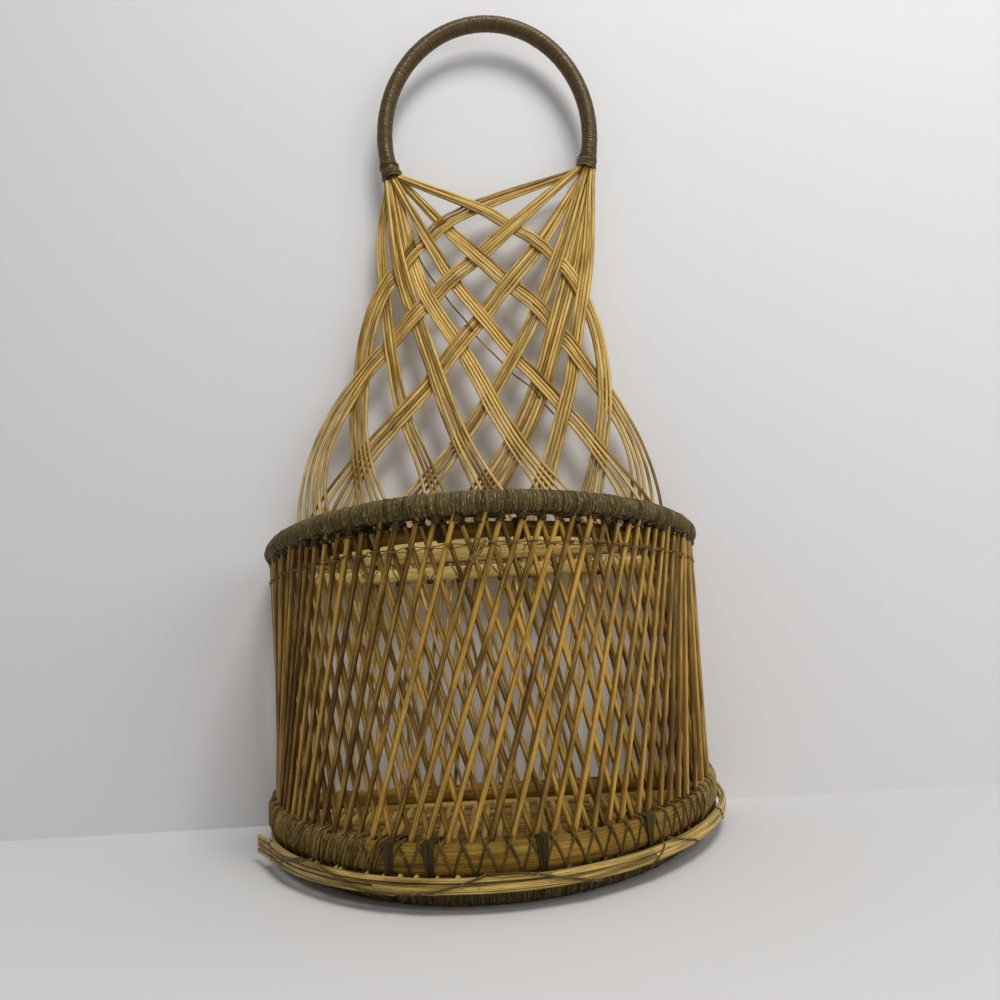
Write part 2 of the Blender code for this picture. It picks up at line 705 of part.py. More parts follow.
def make_ribbon(ribbon, first_slot):
    cells, stations = ribbon_stations(ribbon)
    points = []
    faces = []
    fronts = []
    backs = []
    for index, (runs, side) in enumerate(stations):
        front, back = fused_ring(ribbon, cells, runs, side, index == len(stations) - 1)
        fronts.append(list(range(len(points), len(points) + len(front))))
        points += front
        backs.append(list(range(len(points), len(points) + len(back))))
        points += back
    loops = [front + back[::-1] for front, back in zip(fronts, backs)]
    for low, high in zip(loops, loops[1:]):
        for side in range(len(low)):
            after = (side + 1) % len(low)
            faces.append((low[side], low[after], high[after], high[side]))
    faces.append(tuple(loops[0]))
    split = stations[-1][0].max()
    here, heading = ribbon.at(split)
    lean = 1 if ribbon.layer_sign < 0 else -1
    y = FAN_Y + ribbon.layer_sign * LAYER_OFFSET
    for cane in range(ribbon.canes):
        ring = fronts[-1][2 * cane : 2 * cane + 3] + [backs[-1][cane + 1], backs[-1][cane]]
        offset = (cane + 1 / 2 - ribbon.canes / 2) * CANE_PITCH
        start = here + offset * across(heading)
        slot = first_slot + cane
        rim = slot_point(slot, RIM_Z, lean)
        foot = slot_point(slot, FAN_FOOT_Z, lean)
        down = (foot - rim) / np.linalg.norm(foot - rim)
        reach = np.linalg.norm(rim - start)
        for share in (1 / 3, 2 / 3, 1, 2):
            if share <= 1:
                spot, way = hermite(start, heading * reach, rim, down * reach, share)
            else:
                spot, way = foot, down
            new = list(range(len(points), len(points) + 5))
            points += cane_ring(spot, way, y)
            for side in range(5):
                after = (side + 1) % 5
                faces.append((ring[side], ring[after], new[after], new[side]))
            ring = new
        faces.append(tuple(reversed(ring)))
    smooth(make("ribbon_" + ribbon.place, points, faces, CANE_GOLD, 0.45), 75)


def hermite(start, slope_in, end, slope_out, share):
    """A point and heading on the smooth curve between two points with these slopes."""
    square = share * share
    cube = square * share
    spot = (
        (2 * cube - 3 * square + 1) * start
        + (cube - 2 * square + share) * slope_in
        + (3 * square - 2 * cube) * end
        + (cube - square) * slope_out
    )
    way = (
        (6 * square - 6 * share) * (start - end)
        + (3 * square - 4 * share + 1) * slope_in
        + (3 * square - 2 * share) * slope_out
    )
    return spot, way / np.linalg.norm(way)


def fan():
    ribbons = [Ribbon(side, number) for side in ("left", "right") for number in range(1, 7)]
    note_crossings(ribbons)
    for layer in (FRONT_LAYER, BACK_LAYER):
        slot = 0
        for place in layer:
            ribbon = next(ribbon for ribbon in ribbons if ribbon.place == place)
            make_ribbon(ribbon, slot)
            slot += ribbon.canes
    corners = [(x * FAN_HALF_WIDTH, RIM_Z + z * FAN_HEIGHT) for x, z in STRAY_ROUTE_SHARES]
    line, _ = smooth_line(corners)
    behind = FAN_Y + CANE_THICKNESS + SHEET_CLEARANCE + GAP + TWINE_RADIUS
    path = [(x, behind, z) for x, z in line[::12]]
    smooth(make("stray_cane", *tube(path, TWINE_RADIUS, STRAY_SIDES), CANE_GOLD, 0.45))


# The front wall.


def row_share(pair, height, lean):
    """Where a cane of the front wall is at this height, as a share of the way round."""
    share = (pair + 1 / 2) / PAIRS
    room = min(1, share / CORNER_SHARE, (1 - share) / CORNER_SHARE)
    return share + lean * room * (height - TIE_Z) / (2 * CROSSING_RISE * PAIRS)


def wall_row(name, lean, out, radius, sides, hoop_in, hoop_out):
    """One row of parallel canes in sections, each joined by its stretch of the flat base hoop."""
    top_z = RIM_Z - RIM_ROLL_RADIUS - GAP
    hoop_z = (BASE_HOOP_LOW + BASE_HOOP_HIGH) / 2
    seam = GAP / 2 / plan_curve(hoop_z)[2]
    pairs = np.array_split(np.arange(PAIRS), ROW_SECTIONS)
    for number, section in enumerate(pairs, 1):
        shapes = []
        for pair in section:
            ends = [wall_point(row_share(pair, z, lean), z, out) for z in (WALL_FOOT_Z, top_z)]
            shapes.append(tube(ends, radius, sides))
        canes = make(f"{name}_{number}_cut", *merged(shapes), CANE_BROWN)
        low = row_share(section[0] - 1 / 2, hoop_z, lean) + seam if number > 1 else 0
        high = row_share(section[-1] + 1 / 2, hoop_z, lean) - seam if number < ROW_SECTIONS else 1
        stretch = hoop(BASE_HOOP_LOW, BASE_HOOP_HIGH, hoop_in, hoop_out, wall_shares(low, high))
        ring = make(f"{name}_{number}", *stretch, CANE_BROWN, 0.55)
        smooth(union(ring, canes))


def front_wall():
    outer = (OUTER_ROW_OFFSET, OUTER_CANE_RADIUS, OUTER_CANE_SIDES, OUTER_HOOP_IN, OUTER_HOOP_OUT)
    inner = (INNER_ROW_OFFSET, INNER_CANE_RADIUS, INNER_CANE_SIDES, INNER_HOOP_IN, INNER_HOOP_OUT)
    wall_row("front_outer_canes", 1, *outer)
    wall_row("front_inner_canes", -1, *inner)
    rim_hoop = hoop(RIM_HOOP_LOW, RIM_HOOP_HIGH, RIM_HOOP_IN, RIM_HOOP_OUT)
    make("rim_inner_hoop", *rim_hoop, CANE_BROWN)


def tie_twine():
    """Two strands that pass inside and outside the cane crossings in turn, each where the other doesn't."""
    outside = OUTER_ROW_OFFSET + OUTER_CANE_RADIUS + GAP + TWINE_RADIUS
    inside = INNER_ROW_OFFSET - INNER_CANE_RADIUS - GAP - TWINE_RADIUS
    for name, side in (("tie_twine_upper", 1), ("tie_twine_lower", -1)):
        height = TIE_Z + side * TWINE_STRAND_OFFSET
        path = []
        for pair in range(PAIRS):
            share = (pair + 1 / 2) / PAIRS
            is_out = (pair % 2 == 0) == (side > 0)
            for nudge in (-1 / 5, 1 / 5):
                path.append(wall_point(share + nudge / PAIRS, height, outside if is_out else inside))
        twine = make(name, *tube(path, TWINE_RADIUS, TWINE_SIDES), TWINE_DARK, 0.8)
        smooth(twine, TWINE_SHARP_DEGREES)


def base():
    ring = hoop(BASE_RING_LOW, BASE_RING_HIGH, INNER_HOOP_IN, OUTER_HOOP_OUT)
    make("base_ring", *ring, PALE_STRAW)
    make("base_band_lower", *hoop(BAND_LOW, BAND_MIDDLE - GAP, BAND_IN, BAND_OUT), PALE_STRAW)
    make("base_band_upper", *hoop(BAND_MIDDLE, BAND_HIGH, BAND_IN, BAND_OUT), PALE_STRAW)
    path = []
    for step in range(BASE_STITCHES + 1):
        way = step / BASE_STITCHES
        share = BASE_STITCH_END_SHARE + (1 - 2 * BASE_STITCH_END_SHARE) * way
        low = BASE_HOOP_LOW + STITCH_RADIUS
        out = OUTER_HOOP_OUT + STITCH_GAP + STITCH_RADIUS
        if any(abs(share * PAIRS - seat) < 1 for seat in BASE_LASHING_SEAT_COUNTS):
            low = BAND_HIGH + STITCH_GAP + STITCH_RADIUS
            out += 2 * LASHING_RADIUS + GAP
        path.append(wall_point(share, BASE_HOOP_HIGH - STITCH_RADIUS if step % 2 else low, out))
    smooth(make("base_stitch", *tube(path, STITCH_RADIUS, STITCH_SIDES), TWINE_DARK, 0.8))


def box(low, high):
    corners = ((low[0], low[1]), (high[0], low[1]), (high[0], high[1]), (low[0], high[1]))
    return skin([[(x, y, z) for x, y in corners] for z in (low[2], high[2])])


def back_strips():
    """Flat strips across the back wall, inside and outside its canes."""
    half_thick = LAYER_OFFSET + CANE_THICKNESS / 2 + GAP
    strips = (
        ("back_rim_strip_inner", RIM_STRIP_LOW, RIM_STRIP_HIGH, True),
        ("back_rim_strip_outer", RIM_STRIP_LOW, RIM_STRIP_HIGH, False),
        ("back_tie_strip", TIE_STRIP_LOW, TIE_STRIP_HIGH, True),
        ("back_base_strip_inner", BASE_STRIP_LOW, BASE_STRIP_HIGH, True),
        ("back_base_strip_outer", BASE_STRIP_LOW, BASE_STRIP_HIGH, False),
    )
    for name, low, high, is_inner in strips:
        half = abs(wall_point(0, (low + high) / 2)[0]) - STRIP_INSET
        if is_inner:
            y = (FAN_Y - half_thick - STRIP_THICKNESS, FAN_Y - half_thick)
        else:
            y = (-OUTER_STRIP_THICKNESS, 0)
        make(name, *box((-half, y[0], low), (half, y[1], high)), PALE_STRAW)
    front = FAN_Y - half_thick - STRIP_THICKNESS - STITCH_GAP - STITCH_RADIUS
    half = abs(wall_point(0, TIE_STRIP_LOW)[0]) - STRIP_INSET
    path = []
    for step in range(BACK_STITCHES + 1):
        z = TIE_STRIP_LOW + STITCH_RADIUS if step % 2 == 0 else TIE_STRIP_HIGH - STITCH_RADIUS
        path.append(((2 * step / BACK_STITCHES - 1) * half * BACK_STITCH_REACH_SHARE, front, z))
    smooth(make("back_stitch", *tube(path, STITCH_RADIUS, STITCH_SIDES), TWINE_DARK, 0.8))


def floor():
    """Two layers of slats, each joined by a D-shaped border."""
    middle_out = (FLOOR_BORDER_OUT + FLOOR_BORDER_IN) / 2
    edge = np.array([wall_point(share, WALL_FOOT_Z, middle_out) for share in np.linspace(0, 1, 201)])
    left = edge[:101]
    front_y = edge[:, 1].min()
    inset = FLOOR_LAYER / 6
    for layer, name in enumerate(("floor_lengthwise", "floor_across")):
        low = FLOOR_LOW + layer * (FLOOR_LAYER + GAP)
        high = low + FLOOR_LAYER
        outs = (FLOOR_BORDER_OUT, FLOOR_BORDER_OUT, FLOOR_BORDER_IN, FLOOR_BORDER_IN)
        corners = list(zip(outs, (low, high, high, low)))
        loop = closed_loop(corners, FLOOR_BACK_Y, WALL_FOOT_Z, FLOOR_LOOP_STEPS)
        border = make(name, *loop, PALE_STRAW)
        back_y = FLOOR_BACK_Y + (FLOOR_BORDER_IN - FLOOR_BORDER_OUT) / 2
        shapes = []
        count = (FLOOR_SLATS_LENGTHWISE, FLOOR_SLATS_ACROSS)[layer]
        for slat in range(count):
            share = (slat + 1 / 2) / count
            if layer == 0:
                middle = (2 * share - 1) * (edge[:, 0].max() + FLOOR_BORDER_IN)
                sides = (middle - FLOOR_SLAT_WIDTH / 2, middle + FLOOR_SLAT_WIDTH / 2)
                plan = [(x, back_y) for x in sides]
                plan += [(x, np.interp(x, edge[:, 0], edge[:, 1])) for x in reversed(sides)]
            else:
                middle = back_y + share * (front_y - FLOOR_BORDER_IN - back_y)
                sides = (middle + FLOOR_SLAT_WIDTH / 2, middle - FLOOR_SLAT_WIDTH / 2)
                reach = [np.interp(-y, -left[:, 1], left[:, 0]) for y in sides]
                plan = [(reach[0], sides[0]), (-reach[0], sides[0])]
                plan += [(-reach[1], sides[1]), (reach[1], sides[1])]
            bottom = [(x, y, low + inset) for x, y in plan]
            top = [(x, y, high - inset) for x, y in plan]
            shapes.append(skin([bottom, top]))
        slats = make(name + "_cut", *merged(shapes), PALE_STRAW)
        union(border, slats)


def lashing(name, seat, low, high, inside, outside, lean=0):
    """One unbroken tube wound round part of the wall, through the open gap between two pairs of canes."""
    half_way_up = (low + high) / 2
    half_way_in = (inside + outside) / 2
    corners = (
        (outside, low),
        (outside, half_way_up),
        (outside, high),
        (half_way_in, high),
        (inside, high),
        (inside, half_way_up),
        (inside, low),
        (half_way_in, low),
    )
    last = LASHING_TURNS * len(corners) - 2
    length = plan_curve(TIE_Z)[2]
    path = []
    for step in range(last + 1):
        out, z = corners[step % len(corners)]
        along = (step - last / 2) / len(corners) * LASHING_PITCH / length
        path.append(wall_point(row_share(seat - 1 / 2, z, lean) + along, z, out))
    print(name, "least gap to itself", least_self_gap(path, LASHING_RADIUS, len(corners) // 2))
    smooth(make(name, *tube(path, LASHING_RADIUS, LASHING_SIDES), TWINE_DARK, 0.8))


def lashings():
    """Rim lashings hold the inner hoop up to the roll; base ones hold the base hoops to the canes."""
    clear = LASHING_RADIUS + GAP
    for number, seat in enumerate(RIM_LASHING_SEAT_COUNTS, 1):
        low = RIM_HOOP_LOW - clear
        high = RIM_Z - RIM_ROLL_RADIUS - clear
        inside = RIM_HOOP_IN - clear
        lashing(f"rim_lashing_{number}", seat, low, high, inside, RIM_HOOP_OUT + clear, lean=-1)
    for number, seat in enumerate(BASE_LASHING_SEAT_COUNTS, 1):
        low = WALL_FOOT_Z - clear
        high = BASE_HOOP_HIGH + clear
        inside = INNER_HOOP_IN - clear
        lashing(f"base_lashing_{number}", seat, low, high, inside, OUTER_HOOP_OUT + clear)


def centre_everything():
    """Moves all points so that the object's box is centred on the Z axis and stands on z = 0."""
    bpy.context.view_layer.update()
    made = [item for item in bpy.data.objects if item.type == "MESH"]
    corners = np.array([vertex.co[:] for item in made for vertex in item.data.vertices])
    low = corners.min(axis=0)
    high = corners.max(axis=0)
    shift = np.array([-(low[0] + high[0]) / 2, -(low[1] + high[1]) / 2, -low[2]])
    print("shift", shift.tolist(), "size", (high - low).tolist())
    for item in made:
        for vertex in item.data.vertices:
            vertex.co = vertex.co[:] + shift


def main():
    for item in list(bpy.data.objects):
        bpy.data.objects.remove(item)
    handle()
    fan()
    rim_roll()
    front_wall()
    tie_twine()
    base()
    back_strips()
    foot_roll()
    floor()
    lashings()
    centre_everything()


main()
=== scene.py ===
"""The looks of a wicker wall basket: a woven cane fan, a bound loop handle and an openwork pocket.

Everything is in metres in the frame's axes: +Z is up, the pocket bulges towards -Y, and the plane
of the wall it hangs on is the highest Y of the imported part.
"""

import functools
import math

import bmesh
import bpy
import numpy as np
from mathutils import Matrix, Vector


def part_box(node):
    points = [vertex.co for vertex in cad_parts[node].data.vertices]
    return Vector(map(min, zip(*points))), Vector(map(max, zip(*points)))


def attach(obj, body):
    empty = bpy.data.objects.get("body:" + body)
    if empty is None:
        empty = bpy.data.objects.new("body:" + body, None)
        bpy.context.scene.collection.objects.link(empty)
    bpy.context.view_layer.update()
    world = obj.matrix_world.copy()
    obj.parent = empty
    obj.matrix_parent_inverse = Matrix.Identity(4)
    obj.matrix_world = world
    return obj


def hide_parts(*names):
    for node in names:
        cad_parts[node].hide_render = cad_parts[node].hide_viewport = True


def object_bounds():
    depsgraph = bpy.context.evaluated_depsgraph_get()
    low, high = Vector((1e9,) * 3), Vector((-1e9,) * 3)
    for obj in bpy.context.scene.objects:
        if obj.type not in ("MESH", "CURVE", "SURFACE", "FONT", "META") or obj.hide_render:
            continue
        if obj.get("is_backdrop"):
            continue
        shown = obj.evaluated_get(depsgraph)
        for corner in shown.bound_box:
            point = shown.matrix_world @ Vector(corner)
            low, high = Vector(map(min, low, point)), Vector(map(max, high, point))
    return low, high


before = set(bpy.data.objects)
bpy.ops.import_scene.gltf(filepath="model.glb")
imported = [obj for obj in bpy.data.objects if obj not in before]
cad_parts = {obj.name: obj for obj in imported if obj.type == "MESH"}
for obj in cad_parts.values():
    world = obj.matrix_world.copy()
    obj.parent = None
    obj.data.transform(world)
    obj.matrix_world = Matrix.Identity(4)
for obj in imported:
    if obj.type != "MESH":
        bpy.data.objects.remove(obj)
cad_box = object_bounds()
wall_y = cad_box[1].y
upward = Vector((0, 0, 1))
forward = Vector((0, -1, 0))

# The camera stands where the photograph was taken from: close in front, a little below the middle,
# tilted up at the fan and turned slightly about its own line of sight.
CAMERA_SPOT = (0.01224, wall_y - 0.4419, 0.0961)
CAMERA_LENS = 27.0
CAMERA_SENSOR = 36.0
CAMERA_TILT = math.radians(10.58)
CAMERA_ROLL = math.radians(-3.31)


def add_object(name, data):
    thing = bpy.data.objects.new(name, data)
    bpy.context.scene.collection.objects.link(thing)
    return thing


camera_data = bpy.data.cameras.new("camera")
camera_data.lens = CAMERA_LENS
camera_data.sensor_width = CAMERA_SENSOR
camera = add_object("camera", camera_data)
aimed = Matrix.Rotation(math.radians(90) + CAMERA_TILT, 4, "X") @ Matrix.Rotation(CAMERA_ROLL, 4, "Z")
camera.matrix_world = Matrix.Translation(CAMERA_SPOT) @ aimed
bpy.context.scene.camera = camera

# A pale floor under the basket and a pale wall just behind it, that is clear when seen from behind
# and lets the sky's light in from there, where the sky is as bright as the lit wall.  One soft lamp
# overhead in front, a little to the right, and a weaker one from the right side.
STAGE_REACH = 3.0
STAGE_COLOR = (0.70, 0.69, 0.68, 1)
WALL_GAP = 0.010
SKY_COLOR = (1.0, 1.0, 1.0, 1)
SKY_STRENGTH = 0.27
SKY_BEHIND_STRENGTH = 0.55
SKY_SEEN_STRENGTH = 0.58
LAMPS = {
    "overhead": {"spot": (0.32, -0.72, 1.25), "size": 0.45, "power": 11.0},
    "side": {"spot": (0.95, -0.85, 0.55), "size": 0.8, "power": 4.2},
}
LAMPS_AIM = (0, 0, 0.25)


def fill(tree, node, inputs):
    """Links each input that is given a socket, and sets each that is given a value."""
    for socket, value in inputs.items():
        if isinstance(value, bpy.types.NodeSocket):
            tree.links.new(value, node.inputs[socket])
        else:
            node.inputs[socket].default_value = value
    return node


def add_node(tree, kind, inputs, operation=None):
    node = tree.nodes.new(kind)
    if operation:
        node.operation = operation
    return fill(tree, node, inputs)


def joined(tree, operation, one, other):
    return add_node(tree, "ShaderNodeMath", {0: one, 1: other}, operation).outputs["Value"]


def ranged(tree, value, span, onto):
    ends = {"From Min": span[0], "From Max": span[1], "To Min": onto[0], "To Max": onto[1]}
    return add_node(tree, "ShaderNodeMapRange", {"Value": value, **ends}).outputs["Result"]


def either(tree, sockets):
    """A value that is 1 where any of these sockets is 1."""
    return functools.reduce(lambda one, other: joined(tree, "MAXIMUM", one, other), sockets)


def seen_rays(tree):
    """A value that is 1 for rays that show what they meet: the camera's, mirrored and through glass."""
    rays = tree.nodes.new("ShaderNodeLightPath").outputs
    return either(tree, [rays[f"Is {kind} Ray"] for kind in ("Camera", "Glossy", "Transmission")])


def new_material(name):
    material = bpy.data.materials.new(name)
    material.use_nodes = True
    return material, material.node_tree, material.node_tree.nodes["Principled BSDF"]


def stage_finish(name, clear_behind):
    """The stage's pale matt finish, which can be clear from behind and for light that bounces."""
    material, tree, shader = new_material(name)
    fill(tree, shader, {"Base Color": STAGE_COLOR, "Roughness": 0.9, "Specular IOR Level": 0.1})
    if clear_behind:
        unseen = joined(tree, "SUBTRACT", 1.0, seen_rays(tree))
        behind = tree.nodes.new("ShaderNodeNewGeometry").outputs["Backfacing"]
        clear = tree.nodes.new("ShaderNodeBsdfTransparent").outputs["BSDF"]
        ways = {0: either(tree, [unseen, behind]), 1: shader.outputs["BSDF"], 2: clear}
        mixed = add_node(tree, "ShaderNodeMixShader", ways).outputs["Shader"]
        fill(tree, tree.nodes["Material Output"], {"Surface": mixed})
    return material


upright = Matrix.Translation((0, wall_y + WALL_GAP, 0)) @ Matrix.Rotation(math.radians(90), 4, "X")
for stage_name, stage_place in (("floor", Matrix.Identity(4)), ("backdrop", upright)):
    sheet = bmesh.new()
    bmesh.ops.create_grid(sheet, x_segments=1, y_segments=1, size=STAGE_REACH)
    bmesh.ops.transform(sheet, matrix=stage_place, verts=sheet.verts)
    stage_mesh = bpy.data.meshes.new(stage_name)
    sheet.to_mesh(stage_mesh)
    sheet.free()
    stage_mesh.materials.append(stage_finish(stage_name, stage_name == "backdrop"))
    add_object(stage_name, stage_mesh)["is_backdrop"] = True

for lamp_name, facts in LAMPS.items():
    lamp_data = bpy.data.lights.new(lamp_name, "AREA")
    lamp_data.size, lamp_data.energy = facts["size"], facts["power"]
    lamp = add_object(lamp_name, lamp_data)
    lamp_turn = (Vector(LAMPS_AIM) - Vector(facts["spot"])).to_track_quat("-Z", "Y")
    lamp.matrix_world = Matrix.Translation(facts["spot"]) @ lamp_turn.to_matrix().to_4x4()

sky = bpy.data.worlds.new("sky")
sky.use_nodes = True
sky_tree = sky.node_tree
sky_way = sky_tree.nodes.new("ShaderNodeTexCoord").outputs["Generated"]
sky_sides = add_node(sky_tree, "ShaderNodeSeparateXYZ", {"Vector": sky_way}).outputs
sky_light = ranged(sky_tree, sky_sides["Y"], (-0.1, 0.1), (SKY_STRENGTH, SKY_BEHIND_STRENGTH))
sky_ways = {"Factor": seen_rays(sky_tree), "A": sky_light, "B": SKY_SEEN_STRENGTH}
sky_strength = add_node(sky_tree, "ShaderNodeMix", sky_ways).outputs["Result"]
fill(sky_tree, sky_tree.nodes["Background"], {"Color": SKY_COLOR, "Strength": sky_strength})
bpy.context.scene.world = sky
bpy.context.scene.view_settings.view_transform = "Standard"

# Foot roll: a bundle of cane bent to the shape of the pocket's floor and bound all round with thin
# flat binder, dark with age, each turn laid close against the last.  The basket stands on it.
RIM_HALF_WIDTH = 0.1198
RIM_DEPTH = 0.1557
RIM_FULLNESS = 1.4
RIM_Z = 0.1491
FOOT_HALF_WIDTH = 0.1140
FOOT_DEPTH = 0.1462
FOOT_FULLNESS = 1.15
WALL_FOOT_Z = 0.0124
FOOT_ROLL_INSET = 0.0050
FOOT_ROLL_RADIUS = 0.0041
FOOT_ROLL_BACK = 0.0044
FOOT_LOOP_SHARES = (0.09, 0.91)
BINDER_THICKNESS = 0.00055
FOOT_BINDER_WIDTH = 0.00115
TURN_STEPS = 14
WAY_SHARE = 0.008
WAY_STEP = 0.003
BINDER_LIGHT = (0.150, 0.107, 0.034, 1)
BINDER_DARK = (0.018, 0.012, 0.004, 1)
BINDER_FLECK = (0.46, 0.39, 0.24, 1)

chance = np.random.default_rng(11)


def between(low, high):
    return float(chance.uniform(low, high))


def scatter(size):
    return size * float(chance.normal())


def run_lengths(points):
    """How far along a line each of its points is."""
    return np.concatenate([[0], np.cumsum(np.linalg.norm(np.diff(points, axis=0), axis=1))])


def spots_on(line, runs, places):
    """The points of a line at these lengths along it."""
    return [[float(np.interp(place, runs, column)) for column in line.T] for place in places]


@functools.lru_cache(maxsize=None)
def plan_at(height):
    """The front wall's middle line at this height, from the left corner round to the right one."""
    rise = (height - WALL_FOOT_Z) / (RIM_Z - WALL_FOOT_Z)
    half_width = FOOT_HALF_WIDTH + rise * (RIM_HALF_WIDTH - FOOT_HALF_WIDTH)
    depth = FOOT_DEPTH + rise * (RIM_DEPTH - FOOT_DEPTH)
    fullness = FOOT_FULLNESS + rise * (RIM_FULLNESS - FOOT_FULLNESS)
    turn = np.linspace(math.pi, 0, 1441)
    bulge = np.clip(np.sin(turn), 0, 1) ** fullness
    spots = np.stack([half_width * np.cos(turn), wall_y - depth * bulge], 1)
    runs = run_lengths(spots)
    return spots, runs / runs[-1], runs[-1]


def wall_way(share, height):
    """A point of the wall's middle line and the outward and onward directions there."""
    spots, shares, _ = plan_at(height)
    around = (share, max(share - WAY_SHARE, 0), min(share + WAY_SHARE, 1))
    here, low, high = spots_on(spots, shares, around)
    onward = Vector((high[0] - low[0], high[1] - low[1], 0)).normalized()
    if share < 0.002 or share > 0.998:
        onward = Vector((0, math.copysign(1, share - 0.5), 0))
    return Vector((*here, height)), Vector((onward.y, -onward.x, 0)), onward


def wall_spot(share, height, out):
    here, outward, _ = wall_way(share, height)
    return here + out * outward


def eased(points, times=2):
    """Rounds a path's corners by cutting them, and keeps its two ends."""
    for _ in range(times):
        cut = [points[0]]
        for before, after in zip(points, points[1:]):
            cut += [before.lerp(after, 0.25), before.lerp(after, 0.75)]
        points = cut + [points[-1]]
    return points


def wall_path(stops, times):
    """A rounded way over the wall through stops that each say share, height and distance out."""
    return eased([wall_spot(float(share), float(z), out) for share, z, out in stops], times)


def new_mesh():
    """A mesh with the two values that every cane finish reads: the place in the fibre and a tone."""
    work = bmesh.new()
    return work, work.verts.layers.float_vector.new("grain"), work.verts.layers.float.new("tone")


def add_to(drawing, stretch):
    """Turns a finished stretch's faces out and adds it to the piece it belongs to."""
    bmesh.ops.recalc_face_normals(stretch, faces=stretch.faces)
    mesh = bpy.data.meshes.new("stretch")
    stretch.to_mesh(mesh)
    stretch.free()
    drawing[0].from_mesh(mesh, face_normals=False, vertex_normals=False)
    bpy.data.meshes.remove(mesh)


def binder_turn(radius, width, thickness):
    """One turn of flat, slightly crowned binder round an upright core of this radius."""
    ring, grain, _ = new_mesh()
    edge = width / 2
    top = radius + thickness
    shoulder = top - thickness / 3
    outline = ((radius, -edge), (shoulder, -0.8 * edge), (top, 0), (shoulder, 0.8 * edge), (radius, edge))
    verts = [ring.verts.new((out, 0, z)) for out, z in outline]
    edges = [ring.edges.new(pair) for pair in zip(verts, verts[1:] + verts[:1])]
    around = {"cent": (0, 0, 0), "axis": upward, "angle": 2 * math.pi, "steps": TURN_STEPS}
    bmesh.ops.spin(ring, geom=verts + edges, use_merge=True, **around)
    for vert in ring.verts:
        vert[grain] = (vert.co.z, vert.co.xy.length, math.atan2(vert.co.y, vert.co.x) * radius)
    return ring


def lay_copy(drawing, pattern, place, columns, tone, sizes=(1, 1, 1)):
    """Adds a copy of a pattern turn here, with a tone and a stretch of fibre of its own."""
    stretch = pattern.copy()
    grain = stretch.verts.layers.float_vector["grain"]
    tones = stretch.verts.layers.float["tone"]
    shift = between(0, 3)
    for vert in stretch.verts:
        along, out, around = vert[grain]
        vert[grain] = (along * sizes[0] + shift, out * sizes[1], around * sizes[2] + shift)
        vert[tones] = tone
    matrix = Matrix.Translation(place) @ Matrix(columns).transposed().to_4x4()
    bmesh.ops.transform(stretch, matrix=matrix, verts=stretch.verts)
    add_to(drawing, stretch)


def wind_on(drawing, centre_at, length, radius, width, thickness, slack=0.12, tones=(0.1, 0.9)):
    """Lays turns of binder side by side along a middle line, no two quite alike."""
    pattern = binder_turn(radius, width, thickness)
    run = width / 2
    while run < length - width / 2:
        wide = 1 + slack * between(-1, 1)
        swell = 1 + scatter(slack / 5)
        centre, side, up = centre_at(run / length)
        onward = side.cross(up).normalized() * width
        lean, tilt = chance.normal(0, slack * 1.5, 2)
        slanted = (side * swell + onward * lean / radius, up * swell + onward * tilt / radius)
        lay_copy(drawing, pattern, centre, (*slanted, onward / width * wide), between(*tones))
        run += width * wide * 0.985
    pattern.free()


def bound_roll(name, way, length, radius, binder, slack, core, finish, replaced):
    """A roll of cane bound all along: turns of binder on a core with steps, sides and a rise."""
    drawing = new_mesh()
    wind_on(drawing, way, length, radius, *binder, slack)
    steps, sides, core_rise = core
    middle_line = [way(step / steps)[0] for step in range(steps + 1)]
    draw_cane(drawing, middle_line, radius + core_rise, sides, 0.0, 0.0)
    finish_piece(drawing, name, finish, [replaced])


def frames_on(path, thick, wide, faces=None):
    """A frame at each point of a path: Z along it, X the way its broad side faces and Y across it."""
    faces = [faces] * len(path) if isinstance(faces, Vector) else faces
    ways = [(after - before).normalized() for before, after in zip(path, path[1:])]
    ways = [ways[0]] + [(a + b).normalized() for a, b in zip(ways, ways[1:])] + [ways[-1]]
    face = ways[0].orthogonal()
    frames = []
    for index, (point, way) in enumerate(zip(path, ways)):
        face = faces[index] if faces else face
        face = (face - way * face.dot(way)).normalized()
        grown = (thick[index], wide[index])
        columns = Matrix((face * grown[0], way.cross(face) * grown[1], way))
        frames.append(Matrix.Translation(point) @ columns.transposed().to_4x4())
    return frames


def draw_out(drawing, section, frames, tone, sizes, closed=False):
    """Draws a section out along frames by extruding its outline from each to the next."""
    stretch, grain, tones = new_mesh()
    run = between(0, 3)
    ring = [stretch.verts.new(frames[0] @ Vector((x, y, 0))) for x, y in section]
    edges = [stretch.edges.new(pair) for pair in zip(ring, ring[1:] + ring[:1])]
    for vert, (x, y) in zip(ring, section):
        vert[grain] = (x * sizes[0] + run, y * sizes[1], run)
        vert[tones] = tone
    first_edges, first_ring = list(edges), ring
    for before, after in zip(frames, frames[1:]):
        run += (after.translation - before.translation).length
        out = bmesh.ops.extrude_edge_only(stretch, edges=edges)["geom"]
        ring = [part for part in out if isinstance(part, bmesh.types.BMVert)]
        edges = [part for part in out if isinstance(part, bmesh.types.BMEdge)]
        bmesh.ops.transform(stretch, matrix=after @ before.inverted(), verts=ring)
        for vert in ring:
            vert[grain] = (vert[grain][0], vert[grain][1], run)
    if closed:
        bmesh.ops.bridge_loops(stretch, edges=first_edges + edges)
    else:
        bmesh.ops.contextual_create(stretch, geom=first_ring)
        bmesh.ops.contextual_create(stretch, geom=ring)
    add_to(drawing, stretch)


def round_section(sides):
    turns = [2 * math.pi * side / sides for side in range(sides)]
    return [(math.cos(turn), math.sin(turn)) for turn in turns]


